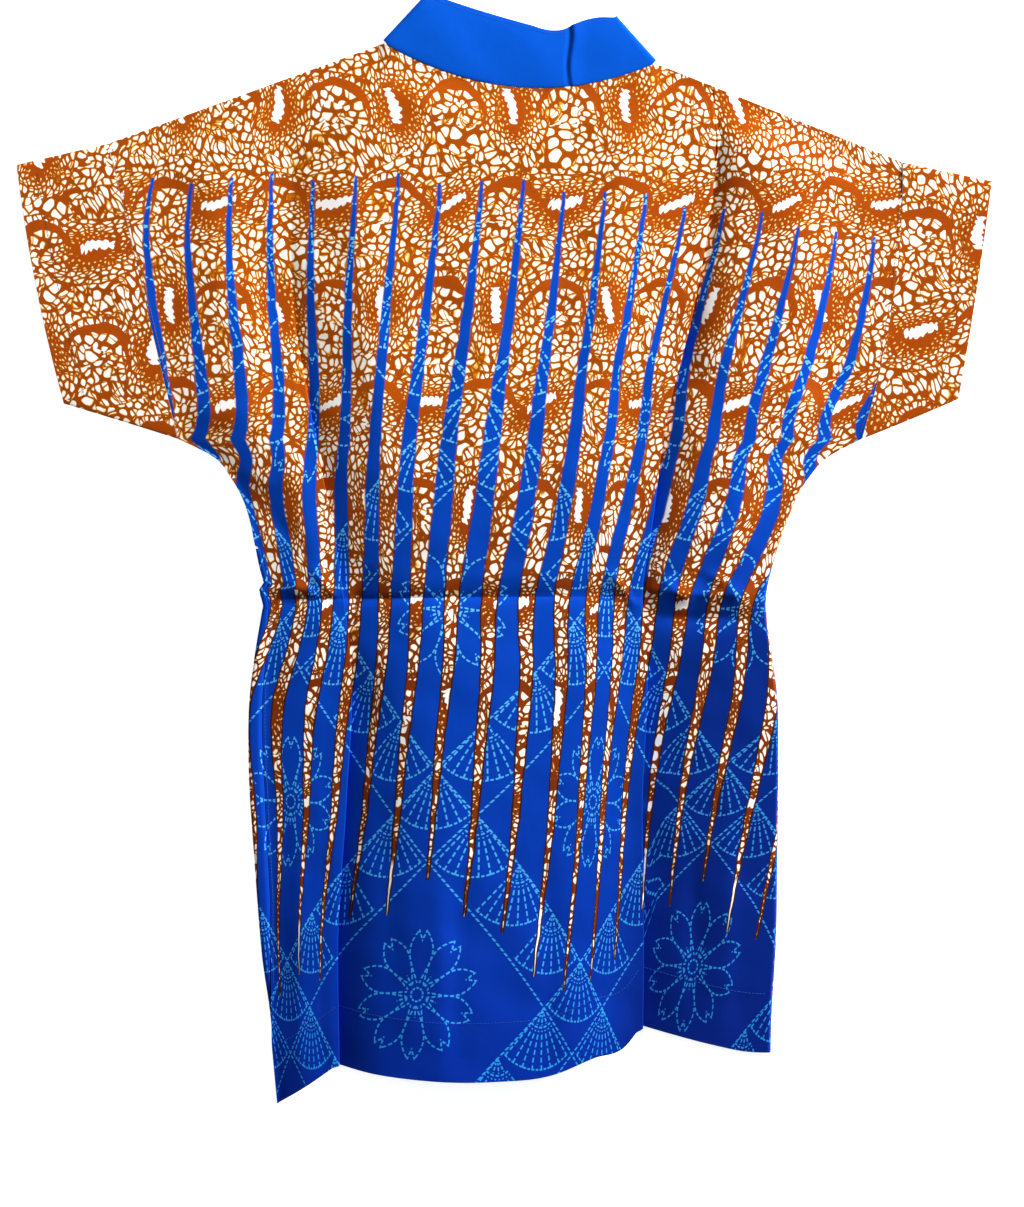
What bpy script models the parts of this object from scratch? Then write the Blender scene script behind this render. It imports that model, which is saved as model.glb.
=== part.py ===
"""Short-sleeved tunic shirt of printed cotton, laid flat on its front.

Lengths are in millimetres and become metres in new_piece. The wearer's left is
at -X, the hem at -Y, and the surface that the shirt lies on is z = 0. The front
panel lies flat, the back panel lies on it in soft folds, each sleeve is a
flattened tube and the collar band is one strip that turns over at the shoulders.
"""

import math

import bmesh
import bpy
import numpy as np

MM = 0.001
CENTRE = (-0.67, 1.36)


def table(names, rows):
    """Columns of a table by name: a string of names over a tuple of rows."""
    return dict(zip(names.split(), np.array(rows, float).T))


# Cloth
WALL = 1.5
BAND_WALL = 2.2
SEAM_GAP = 0.3
FRONT_Z = WALL / 2
EDGE_Z = FRONT_Z + WALL + SEAM_GAP
BAND_LOW_Z = BAND_WALL / 2
BAND_TURN = 1.4
BAND_TOP_Z = BAND_LOW_Z + 2 * BAND_TURN

# Neck and shoulders: where the band's seam meets the shoulder on each side
NECK_LEFT = (-103.0, 430.0)
NECK_RIGHT = (128.0, 413.0)
NECK_SAG = 29.0
V_POINT = (11.0, 267.0)

# Armholes: top and underarm ends of the seams that join the sleeves
ARMHOLE_LEFT = ((-337.0, 345.0), (-278.0, 94.0))
ARMHOLE_RIGHT = ((338.0, 329.0), (303.0, 94.0))
ARMHOLE_BOW = {"left": 0.0, "right": 9.0}
UNDERARM_Y = 94.0

# Cuffs: upper and lower corners, and how far the edge bows outward
CUFF_LEFT = ((-415.0, 327.0), (-371.0, 124.0))
CUFF_RIGHT = ((413.5, 313.0), (384.0, 128.0))
CUFF_BOW = {"left": 6.0, "right": 2.0}

# Outline below the underarms
SIDES = table("y left right", (
    (94, -278, 303),
    (79, -248, 275),
    (61, -233, 258),
    (43, -223, 247),
    (25, -217, 240),
    (6, -213, 233),
    (-14, -209, 227),
    (-36, -204, 222),
    (-55, -207, 222),
    (-85, -212, 226),
    (-125, -217, 231),
    (-180, -218, 232),
    (-264, -213, 231),
    (-330, -208, 230),
    (-400, -201, 226),
    (-471, -194, 225),
))

# Back hem, which rises at the two deep folds
HEM = table("x y", (
    (-194, -471),
    (-169, -456),
    (-142, -437),
    (-115, -444),
    (-80, -449),
    (-10, -451),
    (41, -445),
    (75, -431),
    (103, -420),
    (115, -404),
    (140, -411),
    (175, -420),
    (205, -426),
    (225, -427),
))
FRONT_HEM = (-422.0, -394.0)

# Two deep folds run from the shoulders to the hem. Columns: where the troughs
# lie, and the heights of cloth over the surface from the left edge to the right
FOLDS = table("y trough_l trough_r ridge_l low_l rise_l rise_r low_r ridge_r", (
    (430, -181, 176, 5.0, 4.0, 6.0, 6.0, 4.0, 5.0),
    (340, -181, 176, 7.0, 4.4, 9.0, 10.0, 4.4, 8.0),
    (212, -180, 166, 10.0, 4.6, 14.0, 15.0, 4.6, 11.0),
    (102, -164, 139, 11.0, 4.4, 17.0, 17.0, 4.4, 12.0),
    (25, -149, 125, 11.0, 4.2, 17.0, 16.0, 4.2, 12.0),
    (-38, -139, 115, 8.0, 4.2, 12.0, 12.0, 4.2, 8.0),
    (-102, -132, 119, 13.0, 4.2, 20.0, 18.0, 4.2, 14.0),
    (-213, -136, 115, 15.0, 4.2, 25.0, 22.0, 4.2, 17.0),
    (-323, -143, 116, 17.0, 4.2, 27.0, 24.0, 4.2, 19.0),
    (-437, -142, 115, 18.0, 4.2, 28.0, 26.0, 4.2, 20.0),
))
RIDGE_AT = {"left": 0.38, "rise_l": 0.24, "rise_r": 0.70, "right": 0.55}
LEVEL_EDGE = 0.06
TOP_RAMP = 42.0

# The front wraps round the left edge, so the side seam shows on top
SIDE_TURN = 1.9
SIDE_TOP_Z = FRONT_Z + 2 * SIDE_TURN
SIDE_TURN_START_Y = 3.0
SIDE_TURN_CLEAR = 1.0
SIDE_STRIP = table("y width", (
    (3, 4.0),
    (-50, 5.0),
    (-90, 10.0),
    (-200, 13.0),
    (-300, 11.0),
    (-380, 5.0),
    (-430, 4.0),
    (-471, 0.0),
))
HEM_CORNER_Z = 1.6

# Sleeves: height of the upper layer at the folded edges and between them
SLEEVE_TURN = 1.1
SLEEVE_EDGE_Z = FRONT_Z + 2 * SLEEVE_TURN
SLEEVE_PEAK_Z = 6.0

# Band: outer corners where it turns over, and its edge between them
BAND_TURN_LEFT = (-64.0, 472.0)
BAND_TURN_RIGHT = (93.0, 452.0)
BAND_EDGE = table("x y", (
    (-64, 472),
    (-25, 459),
    (20, 446),
    (40, 441),
    (58, 445),
    (93, 452),
))
BAND_INNER_POINT = (11.0, 352.0)
BAND_CORNER = 0.03

# Mesh steps
SPANS = {"left": 8, "neck_left": 4, "neck": 9, "neck_right": 3, "right": 8}
ROWS = {"yoke": 15, "waist": 10, "skirt": 17}
WAIST_Y = -36.0
TURN_STEPS = 4


def lerp(a, b, t):
    """Straight blend from a to b."""
    return a + (b - a) * t


def smooth(x, xs, ys):
    """Cubic curve through a table's points, in either order of xs."""
    if xs[0] > xs[-1]:
        xs, ys = xs[::-1], ys[::-1]
    x = np.clip(np.asarray(x, float), xs[0], xs[-1])
    slope = np.gradient(ys, xs)
    k = np.clip(np.searchsorted(xs, x) - 1, 0, len(xs) - 2)
    h = xs[k + 1] - xs[k]
    t = (x - xs[k]) / h
    rise = ys[k + 1] - ys[k]
    bend = (slope[k] * h - rise) * (1 - t) - (slope[k + 1] * h - rise) * t
    return ys[k] + t * rise + t * (1 - t) * bend


def armhole_x(y, ends, bow):
    """X of an armhole seam at height y: a straight line bowed outward."""
    (x0, y0), (x1, y1) = ends
    t = (y0 - np.asarray(y, float)) / (y0 - y1)
    inside = np.clip(t, 0, 1)
    return lerp(x0, x1, t) + 4 * bow * inside * (1 - inside)


def left_x(y):
    """X of the left outline at height y."""
    seam = armhole_x(y, ARMHOLE_LEFT, ARMHOLE_BOW["left"])
    return np.where(y >= UNDERARM_Y, seam, smooth(y, SIDES["y"], SIDES["left"]))


def right_x(y):
    """X of the right outline at height y."""
    seam = armhole_x(y, ARMHOLE_RIGHT, ARMHOLE_BOW["right"])
    return np.where(y >= UNDERARM_Y, seam, smooth(y, SIDES["y"], SIDES["right"]))


def strip_width(y):
    """Width of the front's strip on top of the left edge; none above its start."""
    width = np.interp(y, SIDE_STRIP["y"][::-1], SIDE_STRIP["width"][::-1])
    return np.where(y > SIDE_TURN_START_Y + SEAM_GAP, 0.0, width)


def top_y(x):
    """Y of the back's upper edge: shoulder, neck seam, shoulder."""
    x = np.asarray(x, float)
    corners_x = (ARMHOLE_LEFT[0][0], NECK_LEFT[0], NECK_RIGHT[0], ARMHOLE_RIGHT[0][0])
    corners_y = (ARMHOLE_LEFT[0][1], NECK_LEFT[1], NECK_RIGHT[1], ARMHOLE_RIGHT[0][1])
    t = np.clip((x - NECK_LEFT[0]) / (NECK_RIGHT[0] - NECK_LEFT[0]), 0, 1)
    return np.interp(x, corners_x, corners_y) - 4 * NECK_SAG * t * (1 - t)


def hem_y(x):
    """Y of the back hem, with corners at the two troughs."""
    x = np.asarray(x, float)
    cuts = [int(np.argmin(abs(HEM["x"] - FOLDS[name][-1]))) for name in ("trough_l", "trough_r")]
    parts = (slice(0, cuts[0] + 1), slice(cuts[0], cuts[1] + 1), slice(cuts[1], None))
    curves = [smooth(x, HEM["x"][part], HEM["y"][part]) for part in parts]
    return np.select((x <= HEM["x"][cuts[0]], x <= HEM["x"][cuts[1]]), curves[:2], curves[2])


def fold(name, y):
    """One column of the fold table at height y."""
    return smooth(y, FOLDS["y"], FOLDS[name])


def across(s, y):
    """X at place s: 0 to 1 left panel, 1 to 2 middle, 2 to 3 right panel."""
    lines = (left_x(y) + strip_width(y) + SEAM_GAP * (strip_width(y) > 0),
             fold("trough_l", y), fold("trough_r", y), right_x(y))
    panel = np.clip(np.floor(s), 0, 2).astype(int)
    start = np.choose(panel, lines[:3])
    end = np.choose(panel, lines[1:])
    return lerp(start, end, s - panel)


def rise(t, low, high, power=1.1):
    """Height from a trough at t = 0 to a ridge at t = 1."""
    return lerp(low, high, np.sin(np.clip(t, 0, 1) * math.pi / 2) ** power)


def ease(t, start, end):
    """Height from start to end, level at both."""
    return lerp(start, end, (1 - np.cos(math.pi * np.clip(t, 0, 1))) / 2)


def seam_height(y, ends):
    """Height of the cloth along an armhole seam."""
    t = np.clip((ends[0][1] - y) / (ends[0][1] - ends[1][1]), 0, 1)
    return lerp(EDGE_Z, SLEEVE_PEAK_Z, np.sin(math.pi * t) ** 0.7)


def edge_height(y, side):
    """Height of the back's side edge."""
    if side == "right":
        return np.where(y >= UNDERARM_Y, seam_height(y, ARMHOLE_RIGHT), EDGE_Z)
    below = np.interp(y, (HEM["y"][0], FRONT_HEM[0], SIDE_TURN_START_Y, 43),
                      (HEM_CORNER_Z, SIDE_TOP_Z, SIDE_TOP_Z, EDGE_Z))
    return np.where(y >= UNDERARM_Y, seam_height(y, ARMHOLE_LEFT), below)


def back_height(s, x, y):
    """Height of the back panel's cloth over the surface."""
    left, right = RIDGE_AT["left"], RIDGE_AT["right"]
    first, last = RIDGE_AT["rise_l"], RIDGE_AT["rise_r"]
    low_l, low_r = fold("low_l", y), fold("low_r", y)
    rise_l, rise_r = fold("rise_l", y), fold("rise_r", y)
    ridge_l, ridge_r = fold("ridge_l", y), fold("ridge_r", y)
    m = s - 1
    r = s - 2
    z = np.select(
        (s < left, s < 1, m < first, m < last, s < 2, r < right),
        (ease((s - LEVEL_EDGE) / (left - LEVEL_EDGE), edge_height(y, "left"), ridge_l),
         rise((1 - s) / (1 - left), low_l, ridge_l),
         rise(m / first, low_l, rise_l),
         ease((m - first) / (last - first), rise_l, rise_r),
         rise((1 - m) / (1 - last), low_r, rise_r),
         rise(r / right, low_r, ridge_r)),
        ease((1 - r) / (1 - right), edge_height(y, "right"), ridge_r))
    in_neck = (x >= NECK_LEFT[0]) & (x <= NECK_RIGHT[0])
    top_z = np.where(in_neck, BAND_TOP_Z, EDGE_Z)
    return np.minimum(z, ease((top_y(x) - y) / TOP_RAMP, top_z, z))


def place_of(x, y):
    """Place s of a point in the middle panel."""
    start, end = fold("trough_l", y), fold("trough_r", y)
    return 1 + (x - start) / (end - start)


def back_columns():
    """Places s of the back's columns, closer together at the troughs."""
    neck_l = float(place_of(*NECK_LEFT))
    neck_r = float(place_of(*NECK_RIGHT))
    t = {name: np.linspace(0, 1, count, endpoint=False) for name, count in SPANS.items()}
    return np.concatenate((
        [0.0],
        lerp(LEVEL_EDGE, 1, 1 - (1 - t["left"]) ** 1.25),
        lerp(1, neck_l, t["neck_left"]),
        lerp(neck_l, neck_r, t["neck"]),
        lerp(neck_r, 2, t["neck_right"]),
        2 + t["right"] ** 1.25,
        [3.0]))


def column_end(s, edge, start_y):
    """Y where each column meets an edge, a function of x, found by stepping along it."""
    y = np.full_like(s, start_y)
    for _ in range(30):
        y = edge(across(s, y))
    return y


def back_grid():
    """Points of the back panel, row by row from the neck to the hem."""
    s = back_columns()
    top = column_end(s, top_y, NECK_LEFT[1])
    hem = column_end(s, hem_y, HEM["y"][0])
    rows = [lerp(top, UNDERARM_Y, t) for t in np.linspace(0, 1, ROWS["yoke"], endpoint=False)]
    rows += [np.full_like(s, y) for y in
             np.linspace(UNDERARM_Y, WAIST_Y, ROWS["waist"], endpoint=False)]
    rows += [lerp(WAIST_Y, hem, t) for t in np.linspace(0, 1, ROWS["skirt"] + 1)]
    y = np.array(rows)
    s = np.broadcast_to(s, y.shape)
    x = across(s, y)
    return np.stack((x, y, back_height(s, x, y)), axis=-1)


def new_material(name, colour, roughness):
    """Plain cotton of one colour."""
    material = bpy.data.materials.new(name)
    material.use_nodes = True
    shader = material.node_tree.nodes["Principled BSDF"]
    shader.inputs["Base Color"].default_value = (*colour, 1)
    shader.inputs["Roughness"].default_value = roughness
    shader.inputs["Metallic"].default_value = 0.0
    return material


def new_piece(name, points, faces, wall, colour):
    """Cloth wall of one thickness about a surface given in millimetres."""
    mesh = bpy.data.meshes.new(name)
    placed = (np.asarray(points) - (*CENTRE, 0)) * MM
    mesh.from_pydata([tuple(point) for point in placed], [], faces)
    mesh.validate()
    shape = bmesh.new()
    shape.from_mesh(mesh)
    bmesh.ops.recalc_face_normals(shape, faces=shape.faces)
    shape.to_mesh(mesh)
    shape.free()
    piece = bpy.data.objects.new(name, mesh)
    SHIRT.objects.link(piece)
    mesh.materials.append(new_material(name + "_cotton", colour, 0.85))
    thickness = piece.modifiers.new("wall", "SOLIDIFY")
    thickness.thickness = wall * MM
    thickness.offset = 0.0
    thickness.use_even_offset = True
    return piece


def grid_faces(rows, columns, closed=False):
    """Quads between the rows of a grid; a closed grid joins its last column to its first."""
    faces = []
    for i in range(rows - 1):
        for j in range(columns if closed else columns - 1):
            k = (j + 1) % columns
            faces.append((i * columns + j, i * columns + k,
                          (i + 1) * columns + k, (i + 1) * columns + j))
    return faces


def make_back_panel(grid):
    """Back in one piece with its dropped shoulders, in two deep folds."""
    rows, columns = grid.shape[:2]
    return new_piece("back_panel", grid.reshape(-1, 3), grid_faces(rows, columns),
                     WALL, (0.02, 0.09, 0.55))


def side_profile(y):
    """Points of the front's left edge at height y: round the turn and onto the top."""
    centre = float(left_x(y)) + SIDE_TURN + WALL / 2
    angles = np.linspace(0, math.pi, TURN_STEPS + 1)
    points = [(centre - SIDE_TURN * math.sin(a), y, FRONT_Z + SIDE_TURN * (1 - math.cos(a)))
              for a in angles]
    points.append((float(left_x(y) + strip_width(y)), y, float(edge_height(y, "left"))))
    return points


def make_front_panel(back):
    """Front in one piece with a V neck, flat on the surface, turned up at its left edge.

    Its side edges have the back's rows, so the two run alike at every seam.
    """
    left_rows, right_rows = back[:, 0, 1], back[:, -1, 1]
    hem_left, hem_right = FRONT_HEM
    right_rows = np.append(right_rows[right_rows > hem_right], hem_right)
    plain_rows = left_rows[left_rows > SIDE_TURN_START_Y + SEAM_GAP]
    turned_rows = left_rows[(left_rows < SIDE_TURN_START_Y - SEAM_GAP) & (left_rows > hem_left)]
    turned_rows = np.concatenate(([SIDE_TURN_START_Y - SIDE_TURN_CLEAR], turned_rows))
    profiles = [side_profile(y) for y in turned_rows]
    outline = [NECK_LEFT, V_POINT, NECK_RIGHT]
    outline += [(float(right_x(y)), y) for y in right_rows]
    points = [(x, y, FRONT_Z) for x, y in outline[::-1]]
    points += [(float(left_x(y)), y, FRONT_Z) for y in plain_rows]
    turn_start = len(points)
    points += [profile[0] for profile in profiles]
    faces = [tuple(range(len(points)))]
    columns = len(profiles[0])
    ring = [[turn_start + i] + [0] * (columns - 1) for i in range(len(profiles))]
    for i, profile in enumerate(profiles):
        for j in range(1, columns):
            ring[i][j] = len(points)
            points.append(profile[j])
    for low, high in zip(ring, ring[1:]):
        for j in range(columns - 1):
            faces.append((low[j], low[j + 1], high[j + 1], high[j]))
    return new_piece("front_panel", points, faces, WALL, (0.30, 0.10, 0.03))


def sleeve_section(upper, lower, edge_z, peak_z, side):
    """Closed loop of a flattened tube from its upper fold to its lower fold."""
    upper, lower = np.array(upper), np.array(lower)
    length = np.linalg.norm(lower - upper)
    along = (lower - upper) / length
    turn = (edge_z - FRONT_Z) / 2
    inset = turn + WALL / 2
    loop = []
    for f in np.linspace(0, 1, 11):
        x, y = upper + along * lerp(inset, length - inset, f)
        loop.append((x, y, lerp(edge_z, peak_z, math.sin(math.pi * f) ** 0.7)))
    for a in np.linspace(0, math.pi, TURN_STEPS + 1)[1:-1]:
        x, y = lower + along * (turn * math.sin(a) - inset)
        loop.append((x, y, FRONT_Z + turn * (1 + math.cos(a))))
    for f in np.linspace(1, 0, 11):
        x, y = upper + along * lerp(inset, length - inset, f)
        loop.append((x, y, FRONT_Z))
    for a in np.linspace(math.pi, 0, TURN_STEPS + 1)[1:-1]:
        x, y = upper - along * (turn * math.sin(a) - inset)
        loop.append((x, y, FRONT_Z + turn * (1 + math.cos(a))))
    return loop if side == "left" else loop[::-1]


def make_sleeve(side):
    """Short sleeve as a flattened tube, open at the armhole and the cuff."""
    armhole, cuff = (ARMHOLE_LEFT, CUFF_LEFT) if side == "left" else (ARMHOLE_RIGHT, CUFF_RIGHT)
    outward = -1 if side == "left" else 1
    steps = 6
    loops = []
    for t in np.linspace(0, 1, steps):
        upper = [lerp(a, b, t) for a, b in zip(armhole[0], cuff[0])]
        lower = [lerp(a, b, t) for a, b in zip(armhole[1], cuff[1])]
        loops.append(sleeve_section(upper, lower, SLEEVE_EDGE_Z, SLEEVE_PEAK_Z, side))
    grid = np.array(loops)
    top = np.array(armhole[0])
    bottom = np.array(armhole[1])
    span = bottom - top
    for i, t in enumerate(np.linspace(0, 1, steps)):
        f = np.clip(((grid[i, :, :2] - top) @ span) / (span @ span), 0, 1)
        bow = lerp(ARMHOLE_BOW[side], CUFF_BOW[side], t)
        grid[i, :, 0] += outward * 4 * bow * f * (1 - f)
        if i == 0:
            grid[i, :, 0] += outward * SEAM_GAP * (1.2 + 1.5 * abs(2 * f - 1) ** 8)
    columns = grid.shape[1]
    return new_piece("sleeve_" + side, grid.reshape(-1, 3), grid_faces(steps, columns, True),
                     WALL, (0.45, 0.14, 0.03))


def band_turn(seam, outer, low_first):
    """Sections of the band where it turns over about the line from seam to outer."""
    seam, outer = np.array(seam), np.array(outer)
    along = (outer - seam) / np.linalg.norm(outer - seam)
    away = np.array((-along[1], along[0])) * (1 if low_first else -1)
    angles = np.linspace(0, math.pi, TURN_STEPS + 1)
    sections = []
    for a in (angles if low_first else angles[::-1]):
        shift = away * (BAND_TURN * math.sin(a))
        z = BAND_LOW_Z + BAND_TURN * (1 - math.cos(a))
        sections.append((seam + shift, outer + shift, z))
    return sections


def make_collar_band():
    """Doubled strip round the neck: up one side of the V, over the back, down the other."""
    inset = SEAM_GAP
    start_seam = np.array(V_POINT) + (-inset / 2, inset * 1.4)
    start_inner = np.array(BAND_INNER_POINT) + (-inset / 2, 0)
    end_seam = np.array(V_POINT) + (inset / 2, inset * 1.4)
    end_inner = np.array(BAND_INNER_POINT) + (inset / 2, 0)
    neck_l = lerp(np.array(NECK_LEFT), np.array(BAND_TURN_LEFT), BAND_CORNER)
    neck_r = lerp(np.array(NECK_RIGHT), np.array(BAND_TURN_RIGHT), BAND_CORNER)
    turn_l = band_turn(neck_l, BAND_TURN_LEFT, True)
    turn_r = band_turn(neck_r, BAND_TURN_RIGHT, False)
    sections = [(lerp(start_seam, neck_l, t), lerp(start_inner, np.array(BAND_TURN_LEFT), t),
                 BAND_LOW_Z) for t in (0.0, 0.5)]
    sections += turn_l
    for t in np.linspace(0, 1, SPANS["neck"] + 1)[1:-1]:
        x = lerp(NECK_LEFT[0], NECK_RIGHT[0], t)
        edge_x = lerp(BAND_TURN_LEFT[0], BAND_TURN_RIGHT[0], t)
        seam = np.array((x, float(top_y(x)) + inset * 1.1))
        outer = np.array((edge_x, float(smooth(edge_x, BAND_EDGE["x"], BAND_EDGE["y"]))))
        sections.append((seam, outer, BAND_TOP_Z))
    sections += turn_r
    sections += [(lerp(neck_r, end_seam, t), lerp(np.array(BAND_TURN_RIGHT), end_inner, t),
                  BAND_LOW_Z) for t in (0.5, 1.0)]
    widths = np.linspace(0, 1, 4)
    points = [(*lerp(seam, outer, w), z) for seam, outer, z in sections for w in widths]
    return new_piece("collar_band", points, grid_faces(len(sections), len(widths)),
                     BAND_WALL, (0.0, 0.12, 0.75))


for old in list(bpy.data.objects):
    bpy.data.objects.remove(old, do_unlink=True)
SHIRT = bpy.data.collections.new("tunic_shirt")
bpy.context.scene.collection.children.link(SHIRT)
BACK = back_grid()
make_front_panel(BACK)
make_back_panel(BACK)
make_sleeve("left")
make_sleeve("right")
make_collar_band()
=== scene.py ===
import math

import bmesh
import bpy
import numpy as np
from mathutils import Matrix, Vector


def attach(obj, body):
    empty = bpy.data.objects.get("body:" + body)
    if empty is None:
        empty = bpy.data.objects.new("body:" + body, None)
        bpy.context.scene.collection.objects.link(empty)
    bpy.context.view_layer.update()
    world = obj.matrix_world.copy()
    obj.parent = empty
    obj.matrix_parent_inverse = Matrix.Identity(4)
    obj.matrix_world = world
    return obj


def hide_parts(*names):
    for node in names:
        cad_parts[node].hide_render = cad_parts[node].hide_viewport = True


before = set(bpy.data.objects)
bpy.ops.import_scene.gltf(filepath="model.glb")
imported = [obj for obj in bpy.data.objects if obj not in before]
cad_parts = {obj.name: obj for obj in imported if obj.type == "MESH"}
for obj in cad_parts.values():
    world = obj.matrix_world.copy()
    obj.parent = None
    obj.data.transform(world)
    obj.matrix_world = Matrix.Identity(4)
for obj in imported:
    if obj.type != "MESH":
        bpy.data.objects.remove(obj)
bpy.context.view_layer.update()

# The shirt lies on its front, seen from above its back. Lengths are in
# millimetres on the shirt's own plan and become metres in new_mesh: +X is the
# wearer's right, +Y runs from the hem to the neck, and the surface is z = 0.
MM = 0.001
CENTRE = (-0.67, 1.36)


def table(names, rows):
    """Columns of a table by name: a string of names over a tuple of rows."""
    return dict(zip(names.split(), np.array(rows, float).T))


# Cloth
WALL = 0.9
BAND_WALL = 1.5
SEAM_GAP = 0.3
FRONT_Z = WALL / 2
EDGE_Z = 1.7
BAND_LOW_Z = BAND_WALL / 2
BAND_TURN = 1.5
BAND_TOP_Z = BAND_LOW_Z + 2 * BAND_TURN
SIDE_NAMES = ("left", "right")

# Cut of the neck, shoulders, armholes and cuffs
NECK = {"left": (-103.0, 430.0), "right": (128.0, 413.0)}
NECK_SAG = 29.0
V_POINT = (11.0, 267.0)
ARMHOLE = {"left": ((-337.0, 345.0), (-278.0, 94.0)), "right": ((338.0, 329.0), (303.0, 94.0))}
ARMHOLE_BOW = {"left": 0.0, "right": 9.0}
UNDERARM_Y = 94.0
CUFF = {"left": ((-415.0, 327.0), (-371.0, 124.0)), "right": ((413.5, 313.0), (384.0, 128.0))}
CUFF_BOW = {"left": 6.0, "right": 2.0}

# Outline below the underarms
SIDES = table("y left right", (
    (94, -278, 303),
    (79, -248, 275),
    (61, -233, 258),
    (43, -223, 247),
    (25, -217, 240),
    (6, -213, 233),
    (-14, -209, 227),
    (-36, -204, 222),
    (-55, -207, 222),
    (-85, -212, 226),
    (-125, -217, 231),
    (-180, -218, 232),
    (-264, -213, 231),
    (-330, -208, 230),
    (-400, -201, 226),
    (-471, -194, 225),
))

# Back hem, which rises at the two deep folds
HEM = table("x y", (
    (-194, -471),
    (-169, -456),
    (-142, -437),
    (-115, -444),
    (-80, -449),
    (-10, -451),
    (41, -445),
    (75, -431),
    (103, -420),
    (115, -404),
    (140, -411),
    (175, -420),
    (205, -426),
    (225, -427),
))
FRONT_HEM = {"left": -422.0, "right": -394.0}

# Deep folds, from left to right: each panel rises from its trough over a reach,
# and ends in a lip that stands over the next trough
FOLDS = table("y trough_l trough_r ridge_l lip_l low_l rise_l rise_r lip_r low_r ridge_r reach_r", (
    (430, -181, 174, 5.0, 4.0, 4.0, 6.0, 5.5, 4.0, 4.0, 5.5, 36),
    (340, -181, 177, 6.5, 4.4, 4.4, 10.0, 10.5, 7.0, 4.0, 13.0, 44),
    (212, -180, 160, 8.5, 5.0, 4.6, 16.0, 16.5, 13.0, 4.0, 16.5, 54),
    (102, -164, 134, 10.0, 8.0, 4.4, 19.0, 19.0, 14.5, 4.0, 16.5, 58),
    (25, -149, 124, 10.0, 8.5, 4.2, 18.0, 18.0, 13.5, 4.2, 13.5, 62),
    (-38, -139, 115, 9.0, 8.5, 4.2, 15.0, 14.5, 12.0, 4.2, 12.0, 76),
    (-102, -132, 119, 10.0, 11.0, 4.2, 21.0, 20.0, 17.0, 4.2, 13.0, 96),
    (-213, -136, 115, 10.5, 12.0, 4.2, 25.0, 24.0, 20.0, 4.2, 14.0, 102),
    (-323, -143, 116, 11.0, 12.5, 4.2, 27.0, 26.0, 21.5, 4.2, 14.5, 102),
    (-437, -142, 115, 11.5, 13.0, 4.2, 28.0, 27.0, 22.5, 4.2, 15.0, 102),
))
RIDGE_AT = {"left": 0.7, "rise_r": 0.72}
REACH_LEFT = 116.0
STEEPNESS = {"edge": 1.4, "left": 2.8, "right": 3.0}
LIP = {"drop": 0.8, "over": 3.0, "from": 4.0, "least": 0.6, "grow": 2.0}
EDGE_ROUND = 1.0
UPRIGHT = {"full": -60.0, "none": 80.0}
LOOSE = {"reach": 26.0, "power": 1.3, "at_trough": 0.25, "past_trough": 9.0}
MIN_FALL = 4.0
LEVEL_EDGE = 0.06
TOP_RAMP = 42.0
STREAK_LINES = (0.24, 0.76)
WAVES = {"count": 14, "short": 34, "long": 110, "high": 0.12}

# The front wraps round the left edge, so the side seam shows on top
SIDE_TURN = 1.9
SIDE_TOP_Z = FRONT_Z + 2 * SIDE_TURN
SIDE_TURN_START_Y = 3.0
SIDE_LEVEL_Y = 43.0
SIDE_STRIP = table("y width", (
    (3, 4.0),
    (-50, 5.0),
    (-90, 10.0),
    (-200, 13.0),
    (-300, 11.0),
    (-380, 4.0),
    (-421, 0.4),
    (-471, 0.0),
))
TUCK = {"from": -340.0, "to": -400.0, "turn": 0.6, "inset": 2.0}
HEM_CORNER_Z = 1.6

# Sleeves: height of the upper layer at the folded edges and between them
SLEEVE_TURN = 1.1
SLEEVE_EDGE_Z = FRONT_Z + 2 * SLEEVE_TURN
SLEEVE_PEAK_Z = 6.0
SLEEVE_ROUND = 0.7
SLEEVE_PRINT_AT = {"left": (2600.0, 37.0), "right": (1900.0, -61.0)}

# Band: outer corners where it turns over, and its edge between them
BAND_TURN_AT = {"left": (-64.0, 472.0), "right": (93.0, 452.0)}
BAND_EDGE = table("x y", (
    (-64, 472),
    (-25, 459),
    (20, 446),
    (40, 441),
    (50, 442),
    (58, 446),
    (79, 452),
    (93, 452),
))
BAND_INNER_POINT = (11.0, 352.0)
BAND_CORNER = 0.03
BAND_FOLD = {"x": 55.0, "from": 0.66, "to": 0.8, "steps": 31, "clear": 0.075}

# Streaks of the print: their pitch on the flat cloth, the lines on which their
# tips lie, and the number of the streak that crosses each fold line at height y
PITCH = 35.4
TIP_TOP = {"y": 317.0, "bend": 0.28, "middle": 5.0}
TIP_LOW = {"y": -332.0, "swing": 42.0, "period": 8.6, "peak": 4.6}
STREAKS = table("y edge_l trough_l rise_l rise_r trough_r edge_r", (
    (430, -2.0, 4.5, 6.91, 12.05, 14.55, 21.0),
    (280, 0.5, 4.5, 6.89, 12.12, 14.61, 19.7),
    (204, 0.85, 4.55, 7.08, 12.12, 14.78, 19.7),
    (153, 1.0, 4.65, 7.30, 12.12, 14.78, 19.8),
    (102, 1.3, 4.95, 7.61, 12.07, 14.58, 20.1),
    (51, 2.85, 5.45, 7.93, 12.24, 14.77, 18.7),
    (0, 2.95, 5.75, 8.2, 12.48, 15.02, 18.6),
    (-51, 2.95, 6.1, 8.45, 12.75, 15.2, 19.15),
    (-128, 3.6, 6.65, 8.85, 12.95, 15.8, 19.65),
    (-230, 3.4, 6.85, 9.0, 13.1, 16.2, 20.4),
    (-332, 3.65, 7.1, 9.15, 13.5, 16.6, 21.2),
    (-434, 3.9, 7.3, 9.4, 13.9, 17.0, 22.0),
))

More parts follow.
